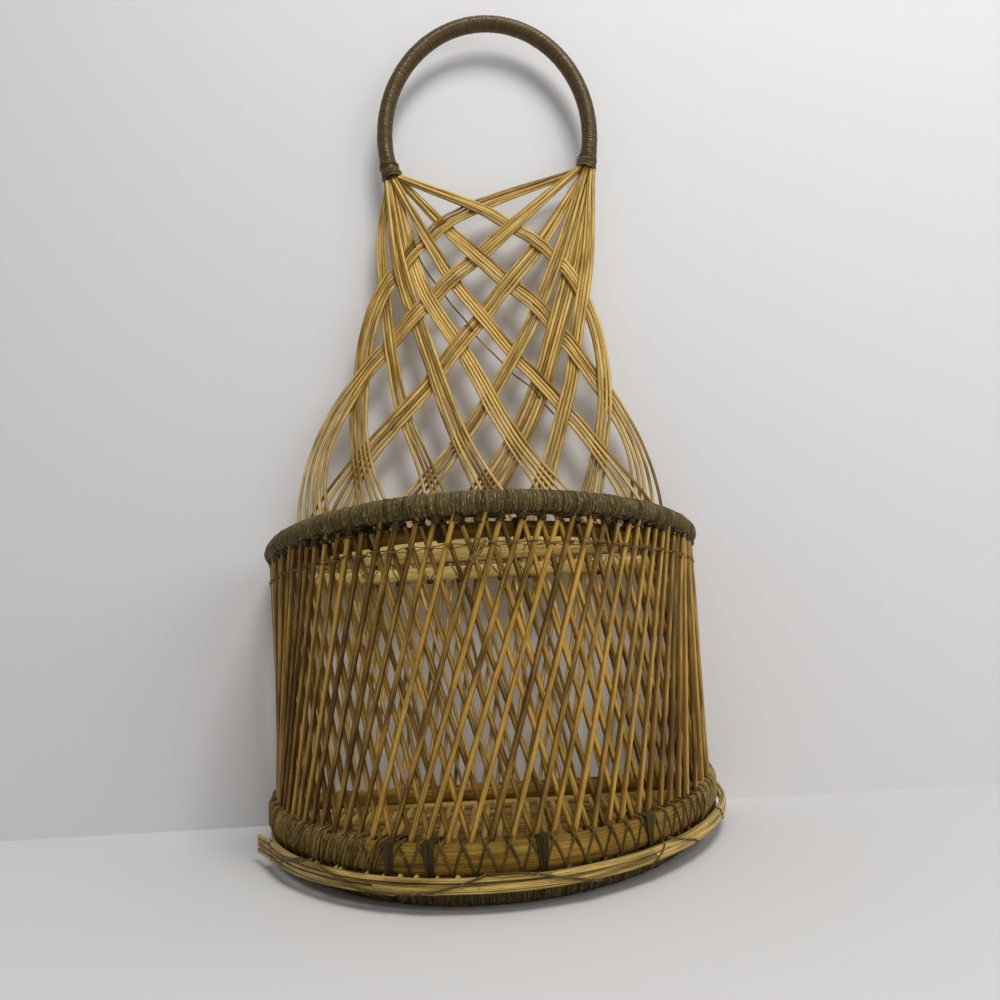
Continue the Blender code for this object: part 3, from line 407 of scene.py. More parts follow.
STRIP_ANGLE = 40
CROWNED_SECTION = ((-1, -1), (0.1, -1), (0.85, -0.7), (1, 0), (0.85, 0.7), (0.1, 1), (-1, 1))


def draw_cane(drawing, path, radius, sides=8, unevenness=0.04, tone=None, flatness=1.0, faces=None):
    """One cane along a path, its thickness wandering a little."""
    count = len(path)
    slow = np.interp(np.arange(count), np.linspace(0, count, 7), chance.normal(0, unevenness, 7))
    radii = radius * (1 + np.clip(slow, -2 * unevenness, 2 * unevenness))
    tone = between(0, 1) if tone is None else tone
    frames = frames_on(path, radii * flatness, radii, faces)
    draw_out(drawing, round_section(sides), frames, tone, (radius, radius))


def draw_strip(drawing, path, faces, width, thickness, tone=None, closed=False):
    """One flat strip of split cane or binder, its crowned side facing out."""
    tone = between(0.1, 0.9) if tone is None else tone
    frames = frames_on(path, [thickness / 2] * len(path), [width / 2] * len(path), faces)
    draw_out(drawing, CROWNED_SECTION, frames, tone, (thickness / 2, width / 2), closed)


def finish_piece(drawing, name, material, replaced=(), smooth_angle=60):
    """Makes the piece's object and ties it to the frame."""
    mesh = bpy.data.meshes.new(name)
    drawing[0].to_mesh(mesh)
    drawing[0].free()
    mesh.shade_smooth()
    mesh.set_sharp_from_angle(angle=math.radians(smooth_angle))
    mesh.materials.append(material)
    piece = add_object(name, mesh)
    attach(piece, "root")
    if replaced:
        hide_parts(*replaced)


COLOR_INPUTS = ("Light", "Dark", "Fleck")
AMOUNT_INPUTS = ("Tone Spread", "Streak Depth", "Fleck Depth", "Half Width", "Side Shade Depth", "Smoothness")
SHEEN_TINT = (1.0, 0.80, 0.48, 1)
STREAK_RISE = 0.0002
COAT_ROUGHNESS = 0.25


def blended(tree, factor, low, high):
    """A colour between two others."""
    blend = tree.nodes.new("ShaderNodeMix")
    blend.data_type = "RGBA"
    return fill(tree, blend, {"Factor": factor, "A": low, "B": high}).outputs["Result"]


def noise_at(tree, place, scales, detail):
    scaled = add_node(tree, "ShaderNodeVectorMath", {0: place, 1: scales}, "MULTIPLY").outputs["Vector"]
    inputs = {"Vector": scaled, "Scale": 1.0, "Detail": detail}
    return add_node(tree, "ShaderNodeTexNoise", inputs).outputs["Fac"]


def cane_fibre_group():
    """Plant fibre's colour, roughness and height: streaks, blotches, flecks, own tone, and painted shade
    that darkens a cane towards its sides.
    """
    group = bpy.data.node_groups.new("cane fibre", "ShaderNodeTree")
    for way, kind, names in (
        ("INPUT", "NodeSocketColor", COLOR_INPUTS),
        ("INPUT", "NodeSocketFloat", AMOUNT_INPUTS),
        ("OUTPUT", "NodeSocketColor", ["Color"]),
        ("OUTPUT", "NodeSocketFloat", ["Roughness", "Height"]),
    ):
        for name in names:
            group.interface.new_socket(name, in_out=way, socket_type=kind)
    given = group.nodes.new("NodeGroupInput").outputs
    tone = group.nodes.new("ShaderNodeAttribute")
    tone.attribute_name = "tone"
    grain = group.nodes.new("ShaderNodeAttribute")
    grain.attribute_name = "grain"
    place = grain.outputs["Vector"]
    half = (-0.5, 0.5)
    streaks = ranged(group, noise_at(group, place, (2600, 2600, 40), 3.0), (0.3, 0.7), half)
    blotches = ranged(group, noise_at(group, place, (170, 170, 45), 2.0), (0.3, 0.7), half)
    flecks = ranged(group, noise_at(group, place, (1500, 1500, 500), 1.0), (0.60, 0.72), (0, 1))
    own_tone = ranged(group, tone.outputs["Fac"], (0, 1), half)
    spread = joined(group, "MULTIPLY", joined(group, "ADD", own_tone, blotches), given["Tone Spread"])
    grained = joined(group, "ADD", spread, joined(group, "MULTIPLY", streaks, given["Streak Depth"]))
    plain = blended(group, joined(group, "ADD", grained, 0.5), given["Dark"], given["Light"])
    sides = add_node(group, "ShaderNodeSeparateXYZ", {"Vector": place}).outputs
    # Painted shade: each cane is darkened towards its sides, where the gaps between canes lie in shade.
    off_middle = joined(group, "DIVIDE", sides["Y"], given["Half Width"])
    painted_side_shade = ranged(group, joined(group, "MULTIPLY", off_middle, off_middle), (0.35, 0.95), (0, 1))
    base = blended(group, joined(group, "MULTIPLY", painted_side_shade, given["Side Shade Depth"]), plain, given["Dark"])
    speckled = joined(group, "MULTIPLY", flecks, given["Fleck Depth"])
    rough = ranged(group, streaks, half, (0.60, 0.38))
    results = {
        "Color": blended(group, speckled, base, given["Fleck"]),
        "Roughness": joined(group, "SUBTRACT", rough, given["Smoothness"]),
        "Height": joined(group, "ADD", streaks, flecks),
    }
    fill(group, group.nodes.new("NodeGroupOutput"), results)
    return group


cane_fibre = cane_fibre_group()


def cane_finish(name, colors, spreads, edges=(0.001, 0.0), bump=0.35, gloss=0.24, coat=0.0, smooth=0.0):
    """A cane or binder finish from its light, dark and fleck colours, its streaks raised a little; edges
    gives the half width and depth of painted shade towards a cane's sides.
    """
    material, tree, shader = new_material(name)
    fibre = tree.nodes.new("ShaderNodeGroup")
    fibre.node_tree = cane_fibre
    fill(tree, fibre, dict(zip(COLOR_INPUTS + AMOUNT_INPUTS, (*colors, *spreads, *edges, smooth))))
    raised = {"Strength": bump, "Distance": STREAK_RISE, "Height": fibre.outputs["Height"]}
    shading = {
        "Base Color": fibre.outputs["Color"],
        "Roughness": fibre.outputs["Roughness"],
        "Normal": add_node(tree, "ShaderNodeBump", raised).outputs["Normal"],
        "Specular IOR Level": gloss,
        "Specular Tint": SHEEN_TINT,
        "Coat Weight": coat,
        "Coat Roughness": COAT_ROUGHNESS,
    }
    fill(tree, shader, shading)
    return material


binder_finish = cane_finish("bound binder", (BINDER_LIGHT, BINDER_DARK, BINDER_FLECK), (0.55, 0.8, 0.55))


def route_way(route):
    """The middle, outward and upward directions along a level route, by share of its length."""
    spots = np.array([tuple(spot) for spot in route])
    runs = run_lengths(spots)

    def at(share):
        run = share * runs[-1]
        here, before, after = map(Vector, spots_on(spots, runs, (run, run - WAY_STEP, run + WAY_STEP)))
        onward = (after - before).normalized()
        return here, Vector((onward.y, -onward.x, 0)), upward

    return at, float(runs[-1])


def floor_loop(out, back, height, steps=60):
    """A D-shaped way round the pocket's floor, from the middle of the back round the front to it again."""
    half = FOOT_HALF_WIDTH + out
    shares = np.linspace(*FOOT_LOOP_SHARES, steps)
    front = [wall_spot(share, WALL_FOOT_Z, out) for share in shares]
    corners = [Vector((side * half, wall_y - back, 0)) for side in (-1, 1)]
    start = Vector((0, wall_y - back, 0))
    outward_back = [start.lerp(corners[0], step / 6) for step in range(7)]
    route = eased([*outward_back, *front, corners[1]], 2)
    route += [corners[1].lerp(start, step / 6) for step in range(1, 7)]
    return [Vector((spot.x, spot.y, height)) for spot in route]


foot_way, foot_length = route_way(floor_loop(-FOOT_ROLL_INSET, FOOT_ROLL_BACK, FOOT_ROLL_RADIUS))
foot_core = (150, 10, BINDER_THICKNESS / 6)
foot_bound = FOOT_ROLL_RADIUS - BINDER_THICKNESS
foot_binder = (FOOT_BINDER_WIDTH, BINDER_THICKNESS * 0.9)
foot_roll = (foot_way, foot_length, foot_bound, foot_binder, 0.12, foot_core)
bound_roll("foot_binding", *foot_roll, binder_finish, "foot_roll")

# Floor: flat stakes that run from front to back, woven across with close thin weavers, and two
# D-shaped borders of flat cane, one above the other, that hold the weave's edge between them.
FLOOR_BORDER_OUT = -0.00915
FLOOR_BORDER_BACK = 0.01635
FLOOR_BORDER_WIDTH = 0.0047
FLOOR_LAYER = 0.0020
FLOOR_LAYERS_Z = (0.0090, 0.0113)
STAKE_PITCH = 0.0068
STAKE_WIDTH = 0.0025
STAKE_THICKNESS = 0.0010
STAKE_RISE = 0.0005
STAKE_TONES = (0.7, 1.0)
WEAVER_TONES = (0.0, 0.4)
WEAVER_PITCH = 0.0027
WEAVER_WIDTH = 0.0017
WEAVER_THICKNESS = 0.0007
FLOOR_LIGHT = (0.50, 0.320, 0.085, 1)
FLOOR_DARK = (0.040, 0.019, 0.002, 1)
FLOOR_FLECK = (0.06, 0.030, 0.008, 1)

floor_finish = cane_finish("floor cane", (FLOOR_LIGHT, FLOOR_DARK, FLOOR_FLECK), (0.7, 0.6, 0.3))
floor_drawing = new_mesh()
for border_z in FLOOR_LAYERS_Z:
    border = floor_loop(FLOOR_BORDER_OUT, FLOOR_BORDER_BACK, border_z, 46)
    draw_strip(floor_drawing, border, upward, FLOOR_BORDER_WIDTH, FLOOR_LAYER * 0.9)
weave_z = sum(FLOOR_LAYERS_Z) / 2
stake_z = weave_z + STAKE_RISE
left_half = np.linspace(0, 0.5, 200)
edge_spots = np.array([wall_spot(share, WALL_FOOT_Z, FLOOR_BORDER_OUT).xy for share in left_half])
back_edge = wall_y - FLOOR_BORDER_BACK
stake_count = int(-2 * edge_spots[0, 0] / STAKE_PITCH)
stake_xs = [(index - (stake_count - 1) / 2) * STAKE_PITCH for index in range(stake_count)]
for x in stake_xs:
    front_edge = float(np.interp(-abs(x), edge_spots[:, 0], edge_spots[:, 1]))
    if front_edge > back_edge - STAKE_PITCH:
        continue
    path = [Vector((x, back_edge + (front_edge - back_edge) * step / 8, stake_z)) for step in range(9)]
    draw_strip(floor_drawing, path, upward, STAKE_WIDTH, STAKE_THICKNESS, between(*STAKE_TONES))
weaver_ys = np.arange(edge_spots[:, 1].min() + 2 * WEAVER_PITCH, back_edge, WEAVER_PITCH)
for y in weaver_ys:
    half = -float(np.interp(-y, -edge_spots[:, 1], edge_spots[:, 0]))
    path = [Vector((-half, y, weave_z))]
    for x in stake_xs:
        if abs(x) < half - STAKE_PITCH / 2:
            path.append(Vector((x, y, weave_z - WEAVER_THICKNESS / 2)))
            path.append(Vector((x + STAKE_PITCH / 2, y, weave_z + WEAVER_THICKNESS / 2)))
    path.append(Vector((half, y, weave_z)))
    if len(path) > 3:
        path = eased(path, 1)
        tone = between(*WEAVER_TONES)
        draw_strip(floor_drawing, path, upward, WEAVER_WIDTH, WEAVER_THICKNESS, tone)
finish_piece(floor_drawing, "floor_weave", floor_finish, ["floor_lengthwise", "floor_across"])

# Front wall: two rows of round canes, each row leaning its own way, that cross in a diamond lattice.
# Each row is fastened to a flat hoop at its foot, and its tops run up into the rim roll.  Their cut
# ends show under the hoops, above a flat ring that they stand on.
PAIRS = 51
OUTER_CANE_RADIUS = 0.00121
INNER_CANE_RADIUS = 0.00111
OUTER_ROW_OFFSET = 0.00140
INNER_ROW_OFFSET = -0.00125
OUTER_ROW_LEAN = 0.86
INNER_ROW_LEAN = -0.76
TIE_Z = 0.1329
CORNER_SHARE = 0.16
BASE_HOOP_LOW = 0.0134
BASE_HOOP_HIGH = 0.0239
OUTER_HOOP_IN = 0.0024
OUTER_HOOP_OUT = 0.0046
INNER_HOOP_IN = -0.0044
INNER_HOOP_OUT = -0.0021
BASE_RING_LOW = 0.0080
BASE_RING_HIGH = 0.0106
ROW_SECTIONS = 6
HOOP_STEPS = 90
ROW_TOP_Z = RIM_Z - 0.004
ROW_BOW = 0.00016
FOOT_GAPS = (0.0002, 0.0020)
WALL_LIGHT = (0.50, 0.285, 0.046, 1)
WALL_DARK = (0.060, 0.025, 0.0008, 1)
WALL_FLECK = (0.045, 0.022, 0.005, 1)
HOOP_LIGHT = (0.34, 0.200, 0.030, 1)
HOOP_DARK = (0.062, 0.030, 0.002, 1)

wall_finish = cane_finish(
    "wall cane",
    (WALL_LIGHT, WALL_DARK, WALL_FLECK),
    (0.9, 0.95, 0.35),
    # Half width and depth of the painted shade towards each cane's sides.
    (OUTER_CANE_RADIUS, 0.75),
    gloss=0.42,
    coat=0.08,
)
hoop_finish = cane_finish("flat hoop cane", (HOOP_LIGHT, HOOP_DARK, WALL_FLECK), (0.45, 0.95, 0.25))


def draw_hoop(drawing, low, high, inside, outside, ends=(0.0, 1.0), sway=0.0, tone=None, drop=0.0):
    """A flat strip bent round the wall, between two heights and distances out, that may start lower."""
    middle_z, middle_out, steps = (low + high) / 2, (inside + outside) / 2, HOOP_STEPS
    wander = np.interp(np.linspace(0, 1, steps + 1), np.linspace(0, 1, 12), chance.normal(0, sway, 12))
    wander -= drop * np.linspace(1, 0, steps + 1) ** 1.5
    path, faces = [], []
    for step in range(steps + 1):
        here, outward, _ = wall_way(ends[0] + (ends[1] - ends[0]) * step / steps, middle_z)
        path.append(here + middle_out * outward + Vector((0, 0, float(wander[step]))))
        faces.append(outward)
    draw_strip(drawing, path, faces, high - low, outside - inside, tone)


def hoop_piece(name, low, high, inside, outside, tone, slot, replaced=()):
    """A flat hoop that is a piece of its own."""
    drawing = new_mesh()
    draw_hoop(drawing, low, high, inside, outside, tone=tone)
    finish_piece(drawing, name, hoop_finish, replaced, STRIP_ANGLE)


def row_share(pair, height, lean):
    """Where round the wall a cane is at this height: it leans by this share of the wall a metre up."""
    share = (pair + 1 / 2) / PAIRS
    room = min(1, share / CORNER_SHARE, (1 - share) / CORNER_SHARE)
    return share + lean * room * (height - TIE_Z)


def wall_row(name, lean, out, radius, hoop_in, hoop_out, node_name):
    """One row of canes with its base hoop."""
    drawing = new_mesh()
    for pair in range(PAIRS):
        untidy = 0.09 + 0.30 * max(0, 1 - (pair + 1 / 2) / (0.3 * PAIRS))
        lean_error = chance.normal(0, untidy, 2) / PAIRS
        foot_z = BASE_RING_HIGH + between(*FOOT_GAPS)
        foot = wall_spot(row_share(pair, foot_z, lean) + lean_error[0], foot_z, out)
        top = wall_spot(row_share(pair, ROW_TOP_Z, lean) + lean_error[1], ROW_TOP_Z, out)
        bow = Vector((*chance.normal(0, ROW_BOW, 2), 0))
        path = [foot.lerp(top, step / 14) + bow * math.sin(math.pi * step / 7) for step in range(15)]
        faces = wall_way((pair + 1 / 2) / PAIRS, TIE_Z)[1]
        draw_cane(drawing, path, radius * (1 + scatter(0.07)), 8, faces=faces)
    nodes = [f"{node_name}_{section}" for section in range(1, ROW_SECTIONS + 1)]
    finish_piece(drawing, name, wall_finish, nodes)
    hoop = (BASE_HOOP_LOW, BASE_HOOP_HIGH, hoop_in, hoop_out)
    hoop_piece(name + "_base_hoop", *hoop, 0.5, "cane_brown")


OUTER_ROW = (OUTER_ROW_LEAN, OUTER_ROW_OFFSET, OUTER_CANE_RADIUS)
INNER_ROW = (INNER_ROW_LEAN, INNER_ROW_OFFSET, INNER_CANE_RADIUS)
wall_row("outer_row", *OUTER_ROW, OUTER_HOOP_IN, OUTER_HOOP_OUT, "front_outer_canes")
wall_row("inner_row", *INNER_ROW, INNER_HOOP_IN, INNER_HOOP_OUT, "front_inner_canes")
base_ring = (BASE_RING_LOW, BASE_RING_HIGH, INNER_HOOP_IN, OUTER_HOOP_OUT)
hoop_piece("base_ring_strip", *base_ring, 0.1, "pale_cane", ["base_ring"])

# Base band: a bundle of split canes laid round outside the foot of the wall.  A broad strip starts
# with a cut end that stands off the left corner, two narrow ones lie under it, and a few turns of
# thin binder cross the bundle at a slant.  Trimmed ends of the wall's canes show above it.
BAND_OUT = 0.0090
BAND_LOW = 0.0078
TIE_OUT = BAND_OUT + 0.0006
TIE_END_OUT = 0.0076
STUB_LENGTH = 0.0215
CHIP_SHARES = (0.300, 0.312, 0.345, 0.352, 0.385, 0.404, 0.421, 0.437, 0.456, 0.474, 0.512, 0.547)
CHIP_RADIUS = 0.0009
BAND_START_SHARE = 0.195
BAND_SWAY = 0.00012
TIE_BINDER_WIDTH = 0.00085
TIE_BINDER_THICKNESS = 0.0003
PALE_LIGHT = (0.62, 0.430, 0.130, 1)
PALE_DARK = (0.105, 0.062, 0.013, 1)
PALE_FLECK = (0.055, 0.032, 0.010, 1)
THREAD_LIGHT = (0.115, 0.074, 0.024, 1)
THREAD_DARK = (0.032, 0.020, 0.006, 1)
# Painted shade and light in the tones: low along the middle for the shade under the wall, 0.9 on the
# right-hand strips for the light from the right.
BAND_STRIPS = {
    # low, high, inside, outside, first and last share, tone, drop at the start
    "base_band_upper": (
        (0.01005, 0.0129, 0.0064, 0.0080, BAND_START_SHARE, 1.0, 0.15, 0),
        (0.0117, 0.0132, 0.0075, 0.0090, BAND_START_SHARE, 0.70, 0.45, 0),
        (0.0098, 0.0115, 0.0075, 0.0089, BAND_START_SHARE, 0.74, 0.15, 0),
        (0.0113, 0.0131, 0.0080, 0.0092, 0.552, 0.985, 0.9, 0),
    ),
    "base_band_lower": (
        (0.0079, 0.0099, 0.0064, 0.0080, BAND_START_SHARE, 1.0, 0.1, 0),
        (0.0078, 0.0096, 0.0074, 0.0090, BAND_START_SHARE, 0.995, 0.45, 0),
        (0.0072, 0.0089, 0.0072, 0.0086, BAND_START_SHARE, 0.46, 0.3, 0.0022),
        (0.0089, 0.0106, 0.0080, 0.0092, 0.40, 0.675, 0.45, 0),
        (0.0088, 0.0110, 0.0083, 0.0095, 0.662, 0.95, 0.9, 0),
    ),
}
# low, high, tone
STUB_STRIPS = ((0.0117, 0.0132, 0.6), (0.0095, 0.0115, 0.5), (0.0074, 0.0093, 0.5), (0.0052, 0.0071, 0.3))
STUB_THICKNESS = 0.0014
STUB_STAND_OFF = 0.0016
BAND_TIES = (
    [(0.205, 0.0136), (0.212, 0.0110), (0.222, 0.0076)],
    [(0.215, 0.0076), (0.235, 0.0088), (0.270, 0.0118), (0.300, 0.0138)],
    [(0.240, 0.0076), (0.275, 0.0110), (0.318, 0.0146)],
    [(0.330, 0.0146), (0.350, 0.0118), (0.378, 0.0086), (0.405, 0.0076), (0.425, 0.0074)],
    [(0.425, 0.0074), (0.455, 0.0088), (0.480, 0.0116), (0.500, 0.0146)],
    [(0.500, 0.0146), (0.530, 0.0144), (0.560, 0.0112), (0.590, 0.0080), (0.600, 0.0074)],
    [(0.655, 0.0076), (0.668, 0.0110), (0.676, 0.0146)],
    [(0.685, 0.0148), (0.700, 0.0130), (0.728, 0.0100), (0.742, 0.0076)],
    [(0.820, 0.0146), (0.832, 0.0112), (0.838, 0.0076)],
)

pale_finish = cane_finish("pale flat cane", (PALE_LIGHT, PALE_DARK, PALE_FLECK), (0.6, 1.1, 0.35), bump=0.5)
thread_finish = cane_finish("thin binder", (THREAD_LIGHT, THREAD_DARK, BINDER_FLECK), (0.6, 0.6, 0.3))


for node_name, strips in BAND_STRIPS.items():
    band_drawing = new_mesh()
    for low, high, inside, outside, first, last, tone, drop in strips:
        draw_hoop(band_drawing, low, high, inside, outside, (first, last), BAND_SWAY, tone, drop)
    finish_piece(band_drawing, node_name + "_strips", pale_finish, [node_name], STRIP_ANGLE)
stub_drawing = new_mesh()
for low, high, tone in STUB_STRIPS:
    here, outward, onward = wall_way(BAND_START_SHARE + 0.016, low)
    start = here + outward * (BAND_OUT - 0.0007)
    stub = [start + (outward * STUB_STAND_OFF - onward * STUB_LENGTH) * step / 5 for step in range(6)]
    stub = [Vector((spot.x, spot.y, (low + high) / 2)) for spot in stub]
    draw_strip(stub_drawing, stub, outward, high - low, STUB_THICKNESS, tone)
finish_piece(stub_drawing, "band_cut_end", pale_finish, smooth_angle=STRIP_ANGLE)
ties_drawing = new_mesh()
for stops in BAND_TIES:
    places = np.linspace(0, len(stops) - 1, 3 * len(stops))
    shares, heights = [np.interp(places, range(len(stops)), column) for column in zip(*stops)]
    outs = [TIE_END_OUT, *[TIE_OUT] * (len(places) - 2), TIE_END_OUT]
    path = wall_path(zip(shares, heights, outs), 2)
    spread = np.interp(np.linspace(0, 1, len(path)), np.linspace(0, 1, len(shares)), shares)
    faces = [wall_way(float(share), BAND_LOW)[1] for share in spread]
    draw_strip(ties_drawing, path, faces, TIE_BINDER_WIDTH, TIE_BINDER_THICKNESS)
finish_piece(ties_drawing, "band_ties", thread_finish)
chip_drawing = new_mesh()
for share in CHIP_SHARES:
    bits = [wall_spot(share, 0.0128 - 0.0004 * step, 0.0026 + 0.0010 * step) for step in range(4)]
    draw_cane(chip_drawing, bits, CHIP_RADIUS * between(0.8, 1.25), 6, 0.15, 0.8)
finish_piece(chip_drawing, "cut_cane_ends", pale_finish, smooth_angle=STRIP_ANGLE)

# Base stitching: light brown flat binder crosses in an X over the top edge of the outer hoop and runs
# down to its lower edge in a V.  Towards both corners it becomes a close slanting wrap round hoops
# and cane feet together.  Four short lashings of dark binder hold the hoops fast between canes.
STITCH_WIDTH = 0.00095
STITCH_THICKNESS = 0.00035
STITCH_SPAN = (0.235, 0.865)
CLOSE_WRAP_SPANS = ((0.010, 0.275, 0.0009), (0.275, 0.405, 0.0021), (0.80, 0.990, 0.0014))
WRAP_WIDTH = 0.0008
WRAP_SLANT = 0.0024
WRAP_OUT_ROOM = 0.0003
WRAP_Z_ROOM = 0.0009
LASHING_BINDER = 0.00055
LASHING_THICKNESS = 0.0005
LASHING_LIFT = 0.0004
LASHING_TURNS = 8
BASE_LASHING_PINCH = 0.55
RIM_LASHING_PINCH = 0.8
STITCH_LIGHT = (0.105, 0.062, 0.014, 1)
STITCH_DARK = (0.020, 0.011, 0.0025, 1)
WRAP_LIGHT = (0.30, 0.210, 0.060, 1)
WRAP_DARK = (0.036, 0.020, 0.003, 1)
LASHING_LIGHT = (0.065, 0.044, 0.014, 1)
LASHING_DARK = (0.009, 0.006, 0.002, 1)

stitch_finish = cane_finish("flat stitch binder", (STITCH_LIGHT, STITCH_DARK, BINDER_FLECK), (0.6, 0.6, 0.2))
wrap_finish = cane_finish("close wrap fibre", (WRAP_LIGHT, WRAP_DARK, BINDER_FLECK), (0.8, 0.8, 0.30))
lashing_finish = cane_finish(
    "dark lashing", (LASHING_LIGHT, LASHING_DARK, BINDER_FLECK), (0.6, 0.6, 0.05), gloss=0.2
)

stitch_drawing = new_mesh()
stitch_face = OUTER_HOOP_OUT + STITCH_THICKNESS * 0.8
for pair in range(PAIRS):
    middle = (pair + 1 / 2) / PAIRS
    if not STITCH_SPAN[0] < middle < STITCH_SPAN[1]:
        continue
    top_share = row_share(pair, BASE_HOOP_HIGH, 0)
    for side in (-1, 1):
        slip = scatter(0.0006)
        stops = (
            (top_share - side * 0.0040, BASE_HOOP_HIGH + 0.0014, OUTER_HOOP_IN - 0.0006),
            (top_share - side * 0.0012, BASE_HOOP_HIGH + 0.0006, OUTER_HOOP_OUT - 0.0002),
            (top_share + side * 0.0010, BASE_HOOP_HIGH - 0.0010, stitch_face + 0.0002),
            (top_share + side * 0.0052 + slip, (BASE_HOOP_LOW + BASE_HOOP_HIGH) / 2, stitch_face),
            (top_share + side * 0.0092 + slip, BASE_HOOP_LOW + 0.0006, stitch_face),
            (top_share + side * 0.0096, BASE_HOOP_LOW - 0.0008, OUTER_HOOP_OUT - 0.0010),
        )
        path = wall_path(stops, 2)
        faces = wall_way(top_share, BASE_HOOP_HIGH)[1]
        draw_strip(stitch_drawing, path, faces, STITCH_WIDTH, STITCH_THICKNESS)
finish_piece(stitch_drawing, "base_stitching", stitch_finish, ["base_stitch"])

wrap_drawing = new_mesh()
wrap_out = (INNER_HOOP_IN + OUTER_HOOP_OUT) / 2
wrap_z = (BASE_HOOP_LOW + BASE_HOOP_HIGH) / 2 - 0.0002
squared_turn = binder_turn(1.0, 1.0, 0.12)
for vert in squared_turn.verts:
    squared = 1 + 0.17 * math.sin(2 * math.atan2(vert.co.y, vert.co.x)) ** 2
    vert.co = (vert.co.x * squared, vert.co.y * squared, vert.co.z)
for low, high, pitch in CLOSE_WRAP_SPANS:
    spacing = pitch / plan_at(wrap_z)[2]
    share = low
    while share < high:
        here, outward, onward = wall_way(share, wrap_z)
        slant = (WRAP_SLANT + scatter(0.0014)) * min(1, 25 * share, 25 * (1 - share))
        half_out = (OUTER_HOOP_OUT - INNER_HOOP_IN) / 2 + WRAP_OUT_ROOM + scatter(0.00012)
        half_z = (BASE_HOOP_HIGH - BASE_HOOP_LOW) / 2 + WRAP_Z_ROOM + scatter(0.0003)
        columns = (outward * half_out, upward * half_z + onward * slant, onward * WRAP_WIDTH)
        middle, sizes = here + outward * wrap_out, (WRAP_WIDTH, half_out, half_z)
        lay_copy(wrap_drawing, squared_turn, middle, columns, between(0, 1), sizes)
        share += spacing * between(0.75, 1.25)
squared_turn.free()
finish_piece(wrap_drawing, "base_corner_wraps", wrap_finish)


def draw_lashings(kind, inside, outside, low, high, pinch):
    for number in range(1, 5):
        draw_lashing(f"{kind}_lashing_{number}", inside, outside, low, high, pinch)


def draw_lashing(node_name, inside, outside, low, high, pinch):
    """A few close turns of binder round hoops in a gap between canes, closer together at the foot."""
    seat_low, seat_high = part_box(node_name)
    middle = (seat_low + seat_high) / 2
    spots, shares, length = plan_at(TIE_Z)
    nearest = int(np.argmin(np.linalg.norm(spots - np.array([middle.x, middle.y]), axis=1)))
    seat_share = round(shares[nearest] * PAIRS) / PAIRS
    middle_out = (inside + outside) / 2
    over, under = (middle_out, high + LASHING_LIFT), (middle_out, low - LASHING_LIFT)
    loop = ((outside, low), (outside, high), over, (inside, high), (inside, low), under)
    path, faces = [], []
    for step in range(LASHING_TURNS * len(loop)):
        out, z = loop[step % len(loop)]
        spread = 1 if z > (low + high) / 2 else pinch
        along = (step / len(loop) - LASHING_TURNS / 2) * LASHING_BINDER * spread / length
        path.append(wall_spot(seat_share + along, z, out + scatter(0.0002)))
        _, outward, _ = wall_way(seat_share, z)
        faces.append(outward * float(np.sign(out - middle_out)) + upward * ((z > high) - (z < low)))
    drawing = new_mesh()
    draw_strip(drawing, path, faces, LASHING_BINDER * 1.15, LASHING_THICKNESS)
    finish_piece(drawing, node_name + "_binder", lashing_finish, [node_name])


base_sides = (INNER_HOOP_IN - 0.0005, OUTER_HOOP_OUT + 0.0008)
base_heights = (BASE_HOOP_LOW - 0.0004, BASE_HOOP_HIGH + 0.0006)
draw_lashings("base", *base_sides, *base_heights, BASE_LASHING_PINCH)

# Rim: a flat hoop inside the canes' tops, and over it a bundle of cane bound with the same thin dark binder.
# Dark fibre binds each cane's top under the roll and dark strands sag there, partly real dark binding and
# partly painted shade under the roll; four lashings go round the hoop.
RIM_HOOP_LOW = 0.1361
RIM_HOOP_HIGH = 0.1423
RIM_HOOP_IN = -0.00525
RIM_HOOP_OUT = -0.0029
RIM_ROLL_RADIUS = 0.00500
RIM_BINDER_WIDTH = 0.00080
RIM_BINDER_THICKNESS = 0.00042
TOP_STRAND_RADIUS = 0.0006
TOP_REACHES = (0.0016, 0.0034)
STRAND_SAG = 0.0010
STRAND_OUTS = (-0.0026, 0.0030)

rim_hoop = (RIM_HOOP_LOW, RIM_HOOP_HIGH, RIM_HOOP_IN, RIM_HOOP_OUT)
hoop_piece("rim_hoop_strip", *rim_hoop, 0.2, "cane_brown", ["rim_inner_hoop"])


def rim_way(share):
    here, outward, _ = wall_way(share, RIM_Z)
    return here, outward, upward


rim_core = (160, 12, RIM_BINDER_THICKNESS / 6)
rim_binder = (RIM_BINDER_WIDTH, RIM_BINDER_THICKNESS)
rim_bound = RIM_ROLL_RADIUS - RIM_BINDER_THICKNESS
rim_roll = (rim_way, plan_at(RIM_Z)[2], rim_bound, rim_binder, 0.16, rim_core)
bound_roll("rim_binding", *rim_roll, binder_finish, "rim_wrap")

